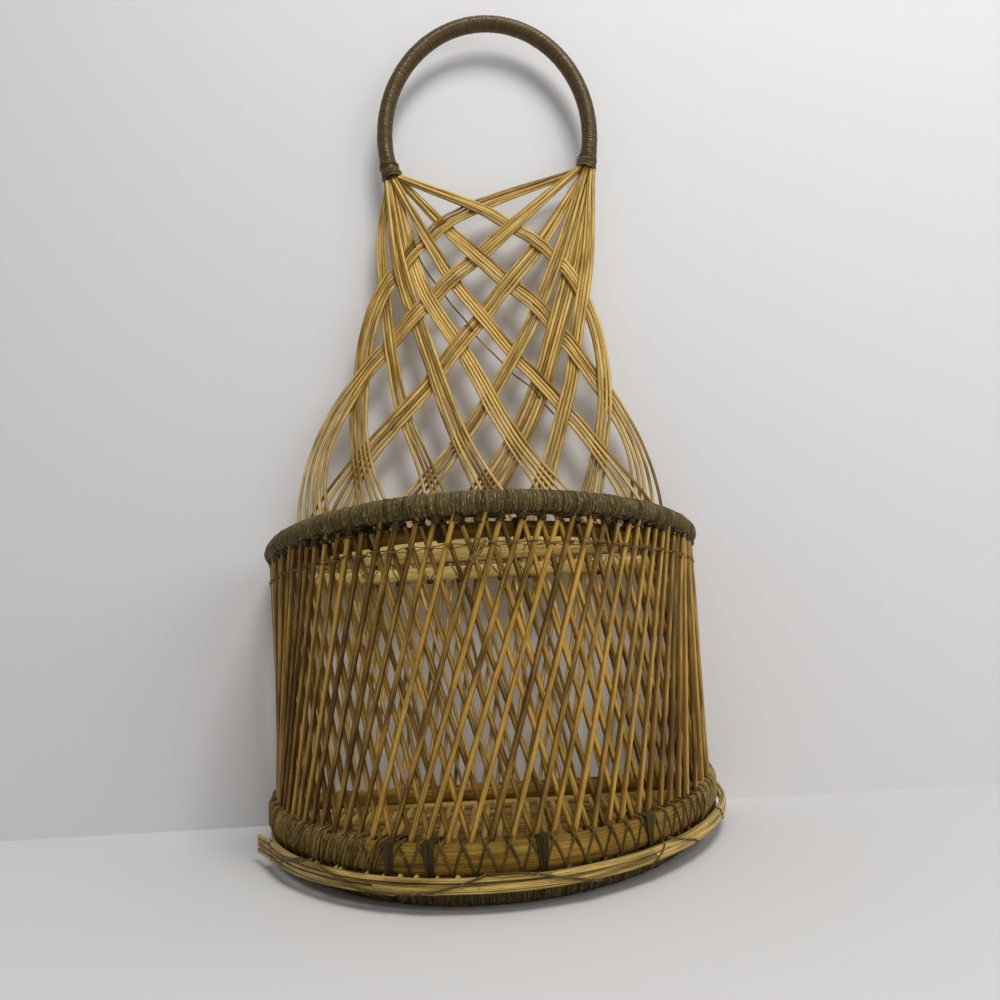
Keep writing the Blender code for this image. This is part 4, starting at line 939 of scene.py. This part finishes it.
# Dark cane tops and sagging strands under the roll: partly the real dark binding, partly painted shade under
# the roll.
top_drawing = new_mesh()
under_roll = RIM_Z - RIM_ROLL_RADIUS
for lean, out, radius in (OUTER_ROW, INNER_ROW):
    for pair in range(PAIRS):
        reach = between(*TOP_REACHES)
        heights = [under_roll - reach + (reach + 0.0006) * step / 5 for step in range(6)]
        path = [wall_spot(row_share(pair, z, lean), z, out) for z in heights]
        thick = radius + 0.0005 * between(0.4, 1.4)
        draw_cane(top_drawing, path, thick, 7, 0.2, between(0, 0.6))
for _ in range(2 * PAIRS):
    share = 0.015 + 0.97 * between(0, 1)
    spread = between(0.4, 1.4) / PAIRS
    sag = between(0, STRAND_SAG)
    heights = (under_roll + 0.0004, under_roll - sag, under_roll - sag * 0.8, under_roll + 0.0004)
    out = between(*STRAND_OUTS)
    stops = [(share + spread * (place / 3 - 1 / 2), z, out) for place, z in enumerate(heights)]
    draw_cane(top_drawing, wall_path(stops, 1), TOP_STRAND_RADIUS, 5, 0.3, between(0, 0.5))
finish_piece(top_drawing, "rim_top_bindings_and_shade", lashing_finish)
rim_sides = (RIM_HOOP_IN - 0.0005, RIM_HOOP_OUT + 0.0005)
rim_heights = (RIM_HOOP_LOW - 0.0006, RIM_HOOP_HIGH + 0.0007)
draw_lashings("rim", *rim_sides, *rim_heights, RIM_LASHING_PINCH)

# Tie twine: two thin strands run in and out along the top row of crossings, each where the other
# doesn't, with a short band of binder round every crossing, and a few loose ends of fibre.
TWINE_RADIUS = 0.00022
TWINE_STRAND_OFFSET = 0.00056
CROSSING_BAND_WIDTH = 0.0010
SEAT = 0.0002
TWINE_LIGHT = (0.17, 0.105, 0.035, 1)
TWINE_DARK = (0.045, 0.026, 0.008, 1)

twine_finish = cane_finish("thin twine", (TWINE_LIGHT, TWINE_DARK, BINDER_FLECK), (0.5, 0.6, 0.2))
outside_row = OUTER_ROW_OFFSET + OUTER_CANE_RADIUS + SEAT + TWINE_RADIUS
inside_row = INNER_ROW_OFFSET - INNER_CANE_RADIUS - SEAT - TWINE_RADIUS
for twine_name, twine_side in (("tie_twine_upper", 1), ("tie_twine_lower", -1)):
    stops = []
    twine_z = TIE_Z + twine_side * TWINE_STRAND_OFFSET
    for pair in range(PAIRS):
        out = outside_row if (pair % 2 == 0) == (twine_side > 0) else inside_row
        stops += [((pair + 1 / 2 + nudge) / PAIRS, twine_z, out) for nudge in (-1 / 5, 1 / 5)]
    twine_drawing = new_mesh()
    draw_cane(twine_drawing, wall_path(stops, 2), TWINE_RADIUS, 6, 0.1)
    finish_piece(twine_drawing, twine_name + "_strand", twine_finish, [twine_name])
band_drawing = new_mesh()
unit_turn = binder_turn(1.0, 1.0, 0.12)
for pair in range(PAIRS):
    here, outward, onward = wall_way((pair + 1 / 2) / PAIRS, TIE_Z + scatter(0.0004))
    half_out = (OUTER_ROW_OFFSET + OUTER_CANE_RADIUS - INNER_ROW_OFFSET + INNER_CANE_RADIUS) / 2 + 0.0001
    half_along = OUTER_CANE_RADIUS + 0.0002
    tilted = upward * CROSSING_BAND_WIDTH + onward * scatter(0.0003)
    columns = (outward * half_out, onward * half_along, tilted)
    sizes = (CROSSING_BAND_WIDTH, half_out, half_along)
    lay_copy(band_drawing, unit_turn, here, columns, between(0, 1), sizes)
unit_turn.free()
finish_piece(band_drawing, "crossing_bands", twine_finish)

# Fan and back wall: twelve ribbons of four to six split canes, six from each end of the handle.
# They weave over and under one another, then spread cane by cane and run down as the back wall.
HANDLE_X = 0.0175
HANDLE_Z = 0.4204
HANDLE_HALF_WIDTH = 0.0665
HANDLE_RISE = 0.0818
HANDLE_END_TURN = math.radians(22)
FAN_Y = wall_y - 0.0063
FAN_HALF_WIDTH = 0.1150
FAN_HEIGHT = 0.2410
FAN_FOOT_HALF_WIDTH = 0.1080
FAN_FOOT_Z = 0.0104
CANE_RADIUS = 0.00102
CANE_FLATNESS = 0.74
CANE_PITCH = 0.00196
LOOSE_SPREAD = 0.16
LOOSE_FROM_Z = 0.262
GATHER_WIDTH = 0.0034
GATHER_PITCH = 0.0039
GATHER_THICKNESS = 0.0030
GATHER_LENGTH = 0.0700
SHEET_CLEARANCE = 0.00022
LAYER_OFFSET = 0.0012
CROSSING_MARGIN = 0.0006
LEAST_TURN = 0.0016
SPLIT_Z = 0.2324
WEAVE_FLOOR_Z = 0.2284
CROSSING_FLOOR_Z = 0.1884
SLOTS = 28
CANE_DRIFT = 0.00016
RIM_DRIFT = 0.0007
RIM_CLUSTERING = 0.72
BACK_LEAN_SLOTS = 3.5
LEAVING_PULL = 1.5
ARRIVING_PULL = 0.6
FAN_STEP = 0.0030
CANE_LIGHT = (0.745, 0.495, 0.145, 1)
CANE_DARK = (0.175, 0.087, 0.005, 1)
CANE_FLECK = (0.075, 0.036, 0.008, 1)

LEFT_ROUTE_SHARES = {
    1: [(0.143, 0.886), (0.354, 0.813), (0.533, 0.72), (0.652, 0.59), (0.69, 0.45), (0.67, 0.30),
        (0.50, 0.0)],
    2: [(0.047, 0.771), (0.356, 0.622), (0.479, 0.542), (0.613, 0.441), (0.724, 0.351), (0.87, 0.17),
        (0.90, 0.0)],
    3: [(-0.11, 0.73), (0.20, 0.51), (0.51, 0.315), (0.73, 0.145), (0.86, 0.0)],
    4: [(-0.25, 0.69), (-0.035, 0.50), (0.16, 0.30), (0.37, 0.14), (0.535, 0.0)],
    5: [(-0.36, 0.735), (-0.27, 0.577), (-0.11, 0.315), (0.025, 0.15), (0.18, 0.0)],
    6: [(-0.464, 0.844), (-0.46, 0.702), (-0.425, 0.503), (-0.385, 0.375), (-0.296, 0.243), (-0.148, 0.0)],
}
RIGHT_ROUTE_SHARES = {
    1: [(0.215, 0.936), (0.005, 0.896), (-0.223, 0.822), (-0.36, 0.75), (-0.475, 0.67), (-0.555, 0.567),
        (-0.599, 0.434), (-0.61, 0.311), (-0.56, 0.0)],
    2: [(0.28, 0.855), (-0.174, 0.67), (-0.465, 0.523), (-0.61, 0.436), (-0.78, 0.30), (-0.86, 0.166),
        (-0.82, 0.0)],
    3: [(0.389, 0.784), (0.142, 0.643), (-0.07, 0.521), (-0.315, 0.381), (-0.505, 0.288), (-0.74, 0.145),
        (-0.82, 0.0)],
    4: [(0.487, 0.74), (0.285, 0.535), (0.028, 0.344), (-0.21, 0.20), (-0.50, 0.0)],
    5: [(0.575, 0.726), (0.46, 0.552), (0.315, 0.361), (0.12, 0.187), (-0.14, 0.0)],
    6: [(0.656, 0.739), (0.571, 0.548), (0.518, 0.415), (0.456, 0.319), (0.24, 0.0)],
}
CANES = {"left": {1: 4, 2: 5, 3: 4, 4: 5, 5: 5, 6: 4}, "right": {1: 5, 2: 5, 3: 5, 4: 4, 5: 6, 6: 4}}
FRONT_LAYER = (("right", 2), ("right", 1), ("left", 6), ("left", 5), ("left", 4), ("left", 3))
BACK_LAYER = (("right", 3), ("right", 4), ("right", 5), ("right", 6), ("left", 1), ("left", 2))

fan_finish = cane_finish(
    "fan cane",
    (CANE_LIGHT, CANE_DARK, CANE_FLECK),
    (0.8, 0.8, 0.35),
    # Half width and depth of the painted shade towards each cane's sides.
    (CANE_RADIUS, 0.85),
    gloss=0.36,
    coat=0.05,
)


def hermite(start, slope_in, end, slope_out, share):
    square, cube = share * share, share * share * share
    near = (2 * cube - 3 * square + 1) * start + (cube - 2 * square + share) * slope_in
    return near + (3 * square - 2 * cube) * end + (cube - square) * slope_out


def smooth_line(corners):
    """A smooth line through 2-D corners as close points, and the length run at each."""
    corners = np.asarray(corners, float)
    padded = np.vstack([2 * corners[0] - corners[1], corners, 2 * corners[-1] - corners[-2]])
    points = []
    for first, start, end, last in zip(padded, padded[1:], padded[2:], padded[3:]):
        spans = [math.sqrt(np.linalg.norm(b - a)) for a, b in ((first, start), (start, end), (end, last))]
        level = (end - start) / spans[1]
        slope_in = (start - first) / spans[0] - (end - first) / (spans[0] + spans[1]) + level
        slope_out = level - (last - start) / (spans[1] + spans[2]) + (last - end) / spans[2]
        for share in np.linspace(0, 1, 24, endpoint=False):
            points.append(hermite(start, slope_in * spans[1], end, slope_out * spans[1], share))
    points = np.array(points + [corners[-1]])
    return points, run_lengths(points)


def across(heading):
    return np.array([-heading[1], heading[0]])


class Ribbon:
    """One ribbon's route through the fan, and where others cross it."""

    def __init__(self, side, number):
        left = side == "left"
        self.side, self.number = side, number
        self.canes = CANES[side][number]
        turn = math.pi + HANDLE_END_TURN if left else -HANDLE_END_TURN
        reach = np.array([HANDLE_HALF_WIDTH * math.cos(turn), HANDLE_RISE * math.sin(turn)])
        down = np.array([-HANDLE_HALF_WIDTH * math.sin(turn), HANDLE_RISE * math.cos(turn)])
        self.start_heading = down / np.linalg.norm(down) * (1 if left else -1)
        inward = across(self.start_heading) * (1 if left else -1)
        start = np.array([HANDLE_X, HANDLE_Z]) + reach + inward * (1 - (number - 1) // 2) * GATHER_PITCH
        routes = LEFT_ROUTE_SHARES if left else RIGHT_ROUTE_SHARES
        corners = [(x * FAN_HALF_WIDTH, RIM_Z + z * FAN_HEIGHT) for x, z in routes[number]]
        self.points, self.runs = smooth_line([start, *corners])
        self.starts_in_front = (number % 2 == 1) == left
        self.layer = FRONT_LAYER if (side, number) in FRONT_LAYER else BACK_LAYER
        self.layer_sign = -1 if self.layer is FRONT_LAYER else 1
        place = self.layer.index((side, number))
        self.first_slot = sum(CANES[other][index] for other, index in self.layer[:place])
        self.events = []

    def at(self, run):
        around = (run, max(run - FAN_STEP, 0), min(run + FAN_STEP, self.runs[-1]))
        here, low, high = map(np.array, spots_on(self.points, self.runs, around))
        heading = (high - low) / np.linalg.norm(high - low)
        heading = heading + max(0, 1 - run / GATHER_PITCH) * (self.start_heading - heading)
        return here, heading / np.linalg.norm(heading)

    def grown(self, run):
        return min(1, run / GATHER_LENGTH)

    def width(self, run):
        """The ribbon's width: gathered at the handle, close in the weave, looser towards the rim."""
        height = float(np.interp(run, self.runs, self.points[:, 1]))
        fall = min(max((LOOSE_FROM_Z - height) / (LOOSE_FROM_Z - SPLIT_Z), 0), 1)
        full = self.canes * CANE_PITCH * (1 + LOOSE_SPREAD * fall)
        return GATHER_WIDTH + self.grown(run) * (full - GATHER_WIDTH)

    def level(self, run, side):
        """How far from the fan's middle plane the ribbon runs here."""
        thick = GATHER_THICKNESS + self.grown(run) * (2 * CANE_RADIUS * CANE_FLATNESS - GATHER_THICKNESS)
        return side * (thick / 2 + SHEET_CLEARANCE)


def meetings(one, other):
    """Lengths along two ribbons' middle lines at each place where they cross."""
    found = []
    starts, steps = one.points[:-1], np.diff(one.points, axis=0)
    for index in range(len(other.points) - 1):
        away = other.points[index] - starts
        step = other.points[index + 1] - other.points[index]
        turn = steps[:, 0] * step[1] - steps[:, 1] * step[0]
        turn = np.where(turn == 0, 1, turn)
        first = (away[:, 0] * step[1] - away[:, 1] * step[0]) / turn
        second = (away[:, 0] * steps[:, 1] - away[:, 1] * steps[:, 0]) / turn
        for hit in np.nonzero((first >= 0) & (first < 1) & (second >= 0) & (second < 1))[0]:
            run = one.runs[hit] + first[hit] * (one.runs[hit + 1] - one.runs[hit])
            other_length = other.runs[index + 1] - other.runs[index]
            found.append((run, other.runs[index] + second[hit] * other_length))
    return found


def goes_in_front(one, other, woven):
    if not woven:
        return one.layer is FRONT_LAYER
    if one.side == other.side:
        return one.number < other.number if one.side == "left" else one.number > other.number
    return (one.number + other.number) % 2 == (0 if one.side == "left" else 1)


ribbons = [Ribbon(side, number) for side in ("left", "right") for number in range(1, 7)]
for index, one in enumerate(ribbons):
    for other in ribbons[index + 1 :]:
        for run, other_run in meetings(one, other):
            height = one.at(run)[0][1]
            woven = height > WEAVE_FLOOR_Z
            apart = height < CROSSING_FLOOR_Z or min(run, other_run) < GATHER_WIDTH
            if apart or (not woven and one.layer is other.layer):
                continue
            side = -1 if goes_in_front(one, other, woven) else 1
            one.events.append((run, other, other_run, side, woven))
            other.events.append((other_run, one, run, -side, woven))
for ribbon in ribbons:
    ribbon.events.sort(key=lambda event: event[0])


def event_span(ribbon, event, offset):
    """Where a crossing begins and ends along a line at this offset from the ribbon's middle."""
    run, other, other_run, _, _ = event
    heading = ribbon.at(run)[1]
    other_across = across(other.at(other_run)[1])
    half = other.width(other_run) / 2 + CROSSING_MARGIN
    along = heading @ other_across
    middle = -offset * (across(heading) @ other_across) / along
    return run + middle - half / abs(along), run + middle + half / abs(along)


def weave_levels(ribbon, offset_share, split):
    """Lengths along one cane, with its distance from the fan's middle plane at each."""
    spans = []
    for event in ribbon.events:
        low, high = event_span(ribbon, event, offset_share * ribbon.width(event[0]))
        if event[4] or low < split:
            spans.append([low, high, event[3], event[4]])
    for before, after in zip(spans, spans[1:]):
        middle = (before[1] + after[0]) / 2
        before[1] = min(before[1], middle - LEAST_TURN / 2)
        after[0] = max(after[0], middle + LEAST_TURN / 2)
    side = -1 if ribbon.starts_in_front else 1
    stations = [(0.0, ribbon.level(0, side))]
    for low, high, side, is_woven in spans:
        stations.append((low, ribbon.level(low, side)))
        if is_woven:
            stations.append((high, ribbon.level(high, side)))
    return stations + [(max(split, stations[-1][0] + LEAST_TURN), ribbon.layer_sign * LAYER_OFFSET)]


def level_at(stations, run):
    for (low, before), (high, after) in zip(stations, stations[1:]):
        if run <= high:
            share = min(max((run - low) / (high - low), 0), 1)
            return before + (after - before) * share * share * (3 - 2 * share)
    return stations[-1][1]


def slot_spot(slot, height, lean):
    """Where a cane of the back wall is at this height, leaning one way or the other below the rim."""
    share = (slot + 1 / 2) / SLOTS
    fall = (RIM_Z - height) / (RIM_Z - FAN_FOOT_Z)
    room = min(1, share / CORNER_SHARE, (1 - share) / CORNER_SHARE)
    share = share + lean * fall * room * BACK_LEAN_SLOTS / SLOTS
    half = FAN_HALF_WIDTH + fall * (FAN_FOOT_HALF_WIDTH - FAN_HALF_WIDTH)
    return np.array([(2 * share - 1) * half, height])


def ribbon_split(ribbon):
    half = ribbon.canes * CANE_PITCH * (1 + LOOSE_SPREAD) / 2
    woven = [event for event in ribbon.events if event[4]]
    last = max(event_span(ribbon, event, side * half)[1] for event in woven for side in (-1, 0, 1))
    low_enough = ribbon.runs[np.nonzero(ribbon.points[:, 1] < SPLIT_Z)[0][0]]
    return max(low_enough, last + 2 * LEAST_TURN)


def cane_path(ribbon, cane, split):
    """One cane's whole way: woven through the fan, spread to its slot at the rim, then down the back."""
    share = (cane + 1 / 2 - ribbon.canes / 2) / ribbon.canes
    stations = weave_levels(ribbon, share, split)
    drift = chance.normal(0, CANE_DRIFT, 2)
    path = []
    for run in np.arange(0, split, FAN_STEP):
        here, heading = ribbon.at(run)
        sway = drift[0] * math.sin(run * 45) + drift[1] * math.sin(run * 21)
        spot = here + (share * ribbon.width(run) + sway * ribbon.grown(run)) * across(heading)
        stacked = (1 - ribbon.grown(run)) * (-1 if cane % 2 else 1) * CANE_RADIUS * 0.8
        path.append(Vector((spot[0], FAN_Y + level_at(stations, run) + stacked, spot[1])))
    here, heading = ribbon.at(split)
    lean = 1 if ribbon.layer_sign < 0 else -1
    start = here + share * ribbon.width(split) * across(heading)
    middle_slot = ribbon.first_slot + (ribbon.canes - 1) / 2
    rim_slot = middle_slot + RIM_CLUSTERING * (cane - (ribbon.canes - 1) / 2)
    rim = slot_spot(rim_slot, RIM_Z, lean) + np.array([chance.normal(0, RIM_DRIFT), 0])
    foot = slot_spot(ribbon.first_slot + cane, FAN_FOOT_Z, lean)
    down = (foot - rim) / np.linalg.norm(foot - rim)
    reach = np.linalg.norm(rim - start)
    ends = (start, heading * reach * LEAVING_PULL, rim, down * reach * ARRIVING_PULL)
    spots = [hermite(*ends, step / 20) for step in range(21)]
    spots += [rim + (foot - rim) * step / 8 for step in range(1, 9)]
    level = FAN_Y + ribbon.layer_sign * LAYER_OFFSET
    return path + [Vector((x, level, z)) for x, z in spots]


for ribbon in ribbons:
    ribbon_drawing = new_mesh()
    split = ribbon_split(ribbon)
    for cane in range(ribbon.canes):
        path = cane_path(ribbon, cane, split)
        thin = CANE_RADIUS * (1 + scatter(0.04))
        draw_cane(ribbon_drawing, path, thin, 8, 0.04, flatness=CANE_FLATNESS, faces=forward)
    node_name = f"ribbon_{ribbon.side}_{ribbon.number}"
    finish_piece(ribbon_drawing, node_name + "_canes", fan_finish, [node_name])

# Stray cane: one thin dark cane that wanders down behind the weave and comes in front of it three
# times on its way.
STRAY_ROUTE_SHARES = (
    (-0.293, 0.847), (-0.279, 0.810), (-0.259, 0.775), (-0.214, 0.731), (-0.152, 0.685), (-0.081, 0.630),
    (-0.011, 0.578), (0.029, 0.550), (0.100, 0.510), (0.160, 0.476), (0.224, 0.439), (0.304, 0.397),
    (0.353, 0.369), (0.416, 0.331),
)
STRAY_FRONT_SPANS = ((0.00, 0.12), (0.41, 0.52), (0.80, 0.91))
STRAY_RADIUS = 0.00050

stray_corners = [(x * FAN_HALF_WIDTH, RIM_Z + z * FAN_HEIGHT) for x, z in STRAY_ROUTE_SHARES]
stray_points = smooth_line(stray_corners)[0][::4]
stray_depth = 2 * CANE_RADIUS * CANE_FLATNESS + 2 * SHEET_CLEARANCE + STRAY_RADIUS
stray_sides = [
    -1 if any(low <= along <= high for low, high in STRAY_FRONT_SPANS) else 1
    for along in np.linspace(0, 1, len(stray_points))
]
stray_sides = np.convolve(np.pad(stray_sides, 2, "edge"), np.ones(5) / 5, "valid")
stray_depths = [FAN_Y + float(side) * stray_depth for side in stray_sides]
stray_path = [Vector((x, y, z)) for y, (x, z) in zip(stray_depths, stray_points)]
stray_drawing = new_mesh()
draw_cane(stray_drawing, eased(stray_path, 1), STRAY_RADIUS, 6, tone=0.0)
finish_piece(stray_drawing, "stray_cane_drawn", wall_finish, ["stray_cane"])

# Strips of the back wall: flat cane inside and outside the back's canes at rim and base, and a narrower
# strip under the rim, sewn on with thread that runs up in a V from each dark knot. The rim strips are pale;
# the base strips get the darker hoop finish and low tones as painted shade at the back's foot.
STRIP_TONES = {
    "back_rim_strip_inner": 0.9,
    "back_rim_strip_outer": 0.6,
    "back_tie_strip": 0.95,
    "back_base_strip_inner": 0.0,
    "back_base_strip_outer": 0.3,
}
for node_name, tone in STRIP_TONES.items():
    low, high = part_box(node_name)
    middle, size = (low + high) / 2, high - low
    path = [Vector((low.x + size.x * step / 24, middle.y, middle.z)) for step in range(25)]
    strip_drawing = new_mesh()
    # Painted shade: the base strips take the darker hoop finish, with their low tones, for the shade at the
    # back's foot.
    strip_finish = hoop_finish if "base" in node_name else pale_finish
    draw_strip(strip_drawing, path, forward, size.z, size.y, tone)
    finish_piece(strip_drawing, node_name + "_cane", strip_finish, [node_name], STRIP_ANGLE)

KNOT_XS = (
    -0.098, -0.082, -0.065, -0.0478, -0.0305, -0.0133, 0.0103, 0.0252, 0.0332, 0.0424, 0.0664, 0.083, 0.099,
)
THREAD_RADIUS = 0.00024
KNOT_RADIUS = 0.0008
THREAD_REACHES = (0.0038, 0.0056)
low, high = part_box("back_tie_strip")
thread_drawing, knot_drawing = new_mesh(), new_mesh()
for x in KNOT_XS:
    for side in (-1, 1):
        reach = between(*THREAD_REACHES)
        face = low.y - THREAD_RADIUS
        stops = [(0, low.y, low.z - 0.0006), (0, face, low.z + 0.0008)]
        stops += [(side * reach, face, high.z - 0.0004), (side * reach * 1.1, high.y, high.z + 0.0005)]
        path = eased([Vector((x + shift, y, z)) for shift, y, z in stops], 1)
        draw_cane(thread_drawing, path, THREAD_RADIUS, 5, 0.1, 0.2)
    for turn in (-1, 0, 1):
        tilt, drop = 0.0007 * turn, 0.0006 + 0.0004 * between(0, 1)
        stops = ((-0.0014, -0.0002, tilt), (0, -0.0013, -drop), (0.0014, -0.0002, -tilt))
        path = [Vector((x + shift, low.y + out, low.z + rise)) for shift, out, rise in stops]
        draw_cane(knot_drawing, eased(path, 1), KNOT_RADIUS, 6, 0.2, 0.2)
finish_piece(thread_drawing, "back_stitching", twine_finish, ["back_stitch"])
finish_piece(knot_drawing, "back_stitch_knots", lashing_finish)

# Handle: the gathered canes of both sides run up through the loop, bound all the way round with
# thin binder, smooth and shiny from use, that ends in a slightly thicker collar on each side.
HANDLE_RADIUS = 0.0051
HANDLE_END_RADIUS = 0.0061
HANDLE_COLLAR_SHARE = 0.05
COLLAR_SHARES = (0.030, 0.038)
COLLAR_WIDTH = 0.0013
COLLAR_THICKNESS = 0.00045
TUFT_RADIUS = 0.00022
TUFT_TIPS = ((-0.0022, -0.0006, 0.0012), (-0.0016, -0.0012, 0.0022), (-0.0026, 0.0002, -0.0004))
HANDLE_BINDER_WIDTH = 0.00105
HANDLE_BINDER_THICKNESS = 0.00032
HANDLE_LIGHT = (0.076, 0.042, 0.006, 1)
HANDLE_DARK = (0.020, 0.011, 0.001, 1)

handle_finish = cane_finish(
    "handle binder",
    (HANDLE_LIGHT, HANDLE_DARK, BINDER_FLECK),
    (0.5, 0.6, 0.1),
    gloss=0.68,
    coat=0.08,
    smooth=0.16,
)


def handle_way(share):
    turn = -HANDLE_END_TURN + share * (math.pi + 2 * HANDLE_END_TURN)
    onward = Vector((-HANDLE_HALF_WIDTH * math.sin(turn), 0, HANDLE_RISE * math.cos(turn))).normalized()
    outward = Vector((onward.z, 0, -onward.x))
    reach = (HANDLE_HALF_WIDTH * math.cos(turn), HANDLE_RISE * math.sin(turn))
    here = Vector((HANDLE_X + reach[0], FAN_Y, HANDLE_Z + reach[1]))
    end_share = min(share, 1 - share) / HANDLE_COLLAR_SHARE
    swell = max(0, 1 - end_share) ** 0.7 * (HANDLE_END_RADIUS / HANDLE_RADIUS - 1)
    return here, outward * (1 + swell), Vector((0, 1 + swell, 0))


handle_spots = [handle_way(step / 200)[0] for step in range(201)]
handle_length = sum((b - a).length for a, b in zip(handle_spots, handle_spots[1:]))
handle_core = (100, 12, HANDLE_BINDER_THICKNESS / 6)
handle_binder = (HANDLE_BINDER_WIDTH, HANDLE_BINDER_THICKNESS)
handle_bound = HANDLE_RADIUS - HANDLE_BINDER_THICKNESS
handle_roll = (handle_way, handle_length, handle_bound, handle_binder, 0.06, handle_core)
bound_roll("handle_binding", *handle_roll, handle_finish, "handle_wrap")
collar_drawing = new_mesh()
for first, last in ((0.0, COLLAR_SHARES[0]), (1 - COLLAR_SHARES[1], 1.0)):
    collar_length = (last - first) * handle_length
    way = lambda share, start=first, reach=last - first: handle_way(start + reach * share)
    wind_on(collar_drawing, way, collar_length, HANDLE_RADIUS, COLLAR_WIDTH, COLLAR_THICKNESS, 0.25)
collar_end = handle_way(COLLAR_SHARES[0] * 0.6)[0] + Vector((-HANDLE_RADIUS, -0.0010, 0))
for tip in map(Vector, TUFT_TIPS):
    tuft = [collar_end, collar_end + tip * 0.6, collar_end + tip + Vector((0, 0, 0.0005))]
    draw_cane(collar_drawing, eased(tuft, 1), TUFT_RADIUS, 5, 0.2, 0.1)
finish_piece(collar_drawing, "handle_collars", binder_finish)

# Loose ends: frayed fibres at the tie line and thread tails beside the lashings.
LOOSE_RADIUS = 0.00024
FRAYED_RADIUS = 0.00034
FRAYED_FIBRES = 6
LOOSE_ENDS = (
    ((0.512, 0.1322), (0.507, 0.1278), (0.500, 0.1266)),
    ((0.516, 0.1335), (0.524, 0.1322), (0.526, 0.1290), (0.519, 0.1262)),
    ((0.509, 0.1338), (0.503, 0.1352), (0.497, 0.1340)),
    ((0.418, 0.1330), (0.424, 0.1325), (0.430, 0.1332)),
    ((0.548, 0.1320), (0.543, 0.1256), (0.539, 0.1222)),
    ((0.604, 0.1336), (0.611, 0.1348), (0.616, 0.1320)),
)

loose_drawing = new_mesh()
for stops in LOOSE_ENDS:
    stops = [(*stop, outside_row + 0.0010 + 0.0006 * index) for index, stop in enumerate(stops)]
    draw_cane(loose_drawing, wall_path(stops, 3), LOOSE_RADIUS, 5, 0.2, 0.3)
fray_drawing = new_mesh()
for _ in range(FRAYED_FIBRES):
    loose = chance.normal(0, 1, 4)
    stops = (
        (0.5130 + 0.0012 * loose[0], 0.1340 + 0.0003 * loose[1]),
        (0.5095 + 0.0008 * loose[0], 0.1310 + 0.0003 * loose[1]),
        (0.5020 + 0.0016 * loose[2], 0.1272 + 0.0006 * loose[3]),
        (0.4985 + 0.0020 * loose[2], 0.1268 + 0.0007 * loose[3]),
    )
    stops = [(*stop, outside_row + 0.0004 * index) for index, stop in enumerate(stops)]
    draw_cane(fray_drawing, wall_path(stops, 2), FRAYED_RADIUS, 5, 0.2)
finish_piece(loose_drawing, "loose_thread_ends", twine_finish)
finish_piece(fray_drawing, "frayed_fibres", wrap_finish)

# Cores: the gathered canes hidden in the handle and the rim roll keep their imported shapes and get
# a plain cane finish.
CORE_LIGHT = (0.40, 0.26, 0.10, 1)
CORE_DARK = (0.17, 0.10, 0.035, 1)
CORE_GRAIN = (60, 400, 400)

core_finish, core_tree, core_shader = new_material("bundled cane")
core_place = core_tree.nodes.new("ShaderNodeTexCoord").outputs["Object"]
core_noise = noise_at(core_tree, core_place, CORE_GRAIN, 2.0)
core_color = blended(core_tree, core_noise, CORE_DARK, CORE_LIGHT)
fill(core_tree, core_shader, {"Base Color": core_color, "Roughness": 0.6})
for node_name in ("handle_core", "rim_core"):
    for slot_place in bpy.data.objects[node_name].material_slots:
        slot_place.material = core_finish

sizes = {"cad": [list(corner) for corner in cad_box], "visual": [list(corner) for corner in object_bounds()]}
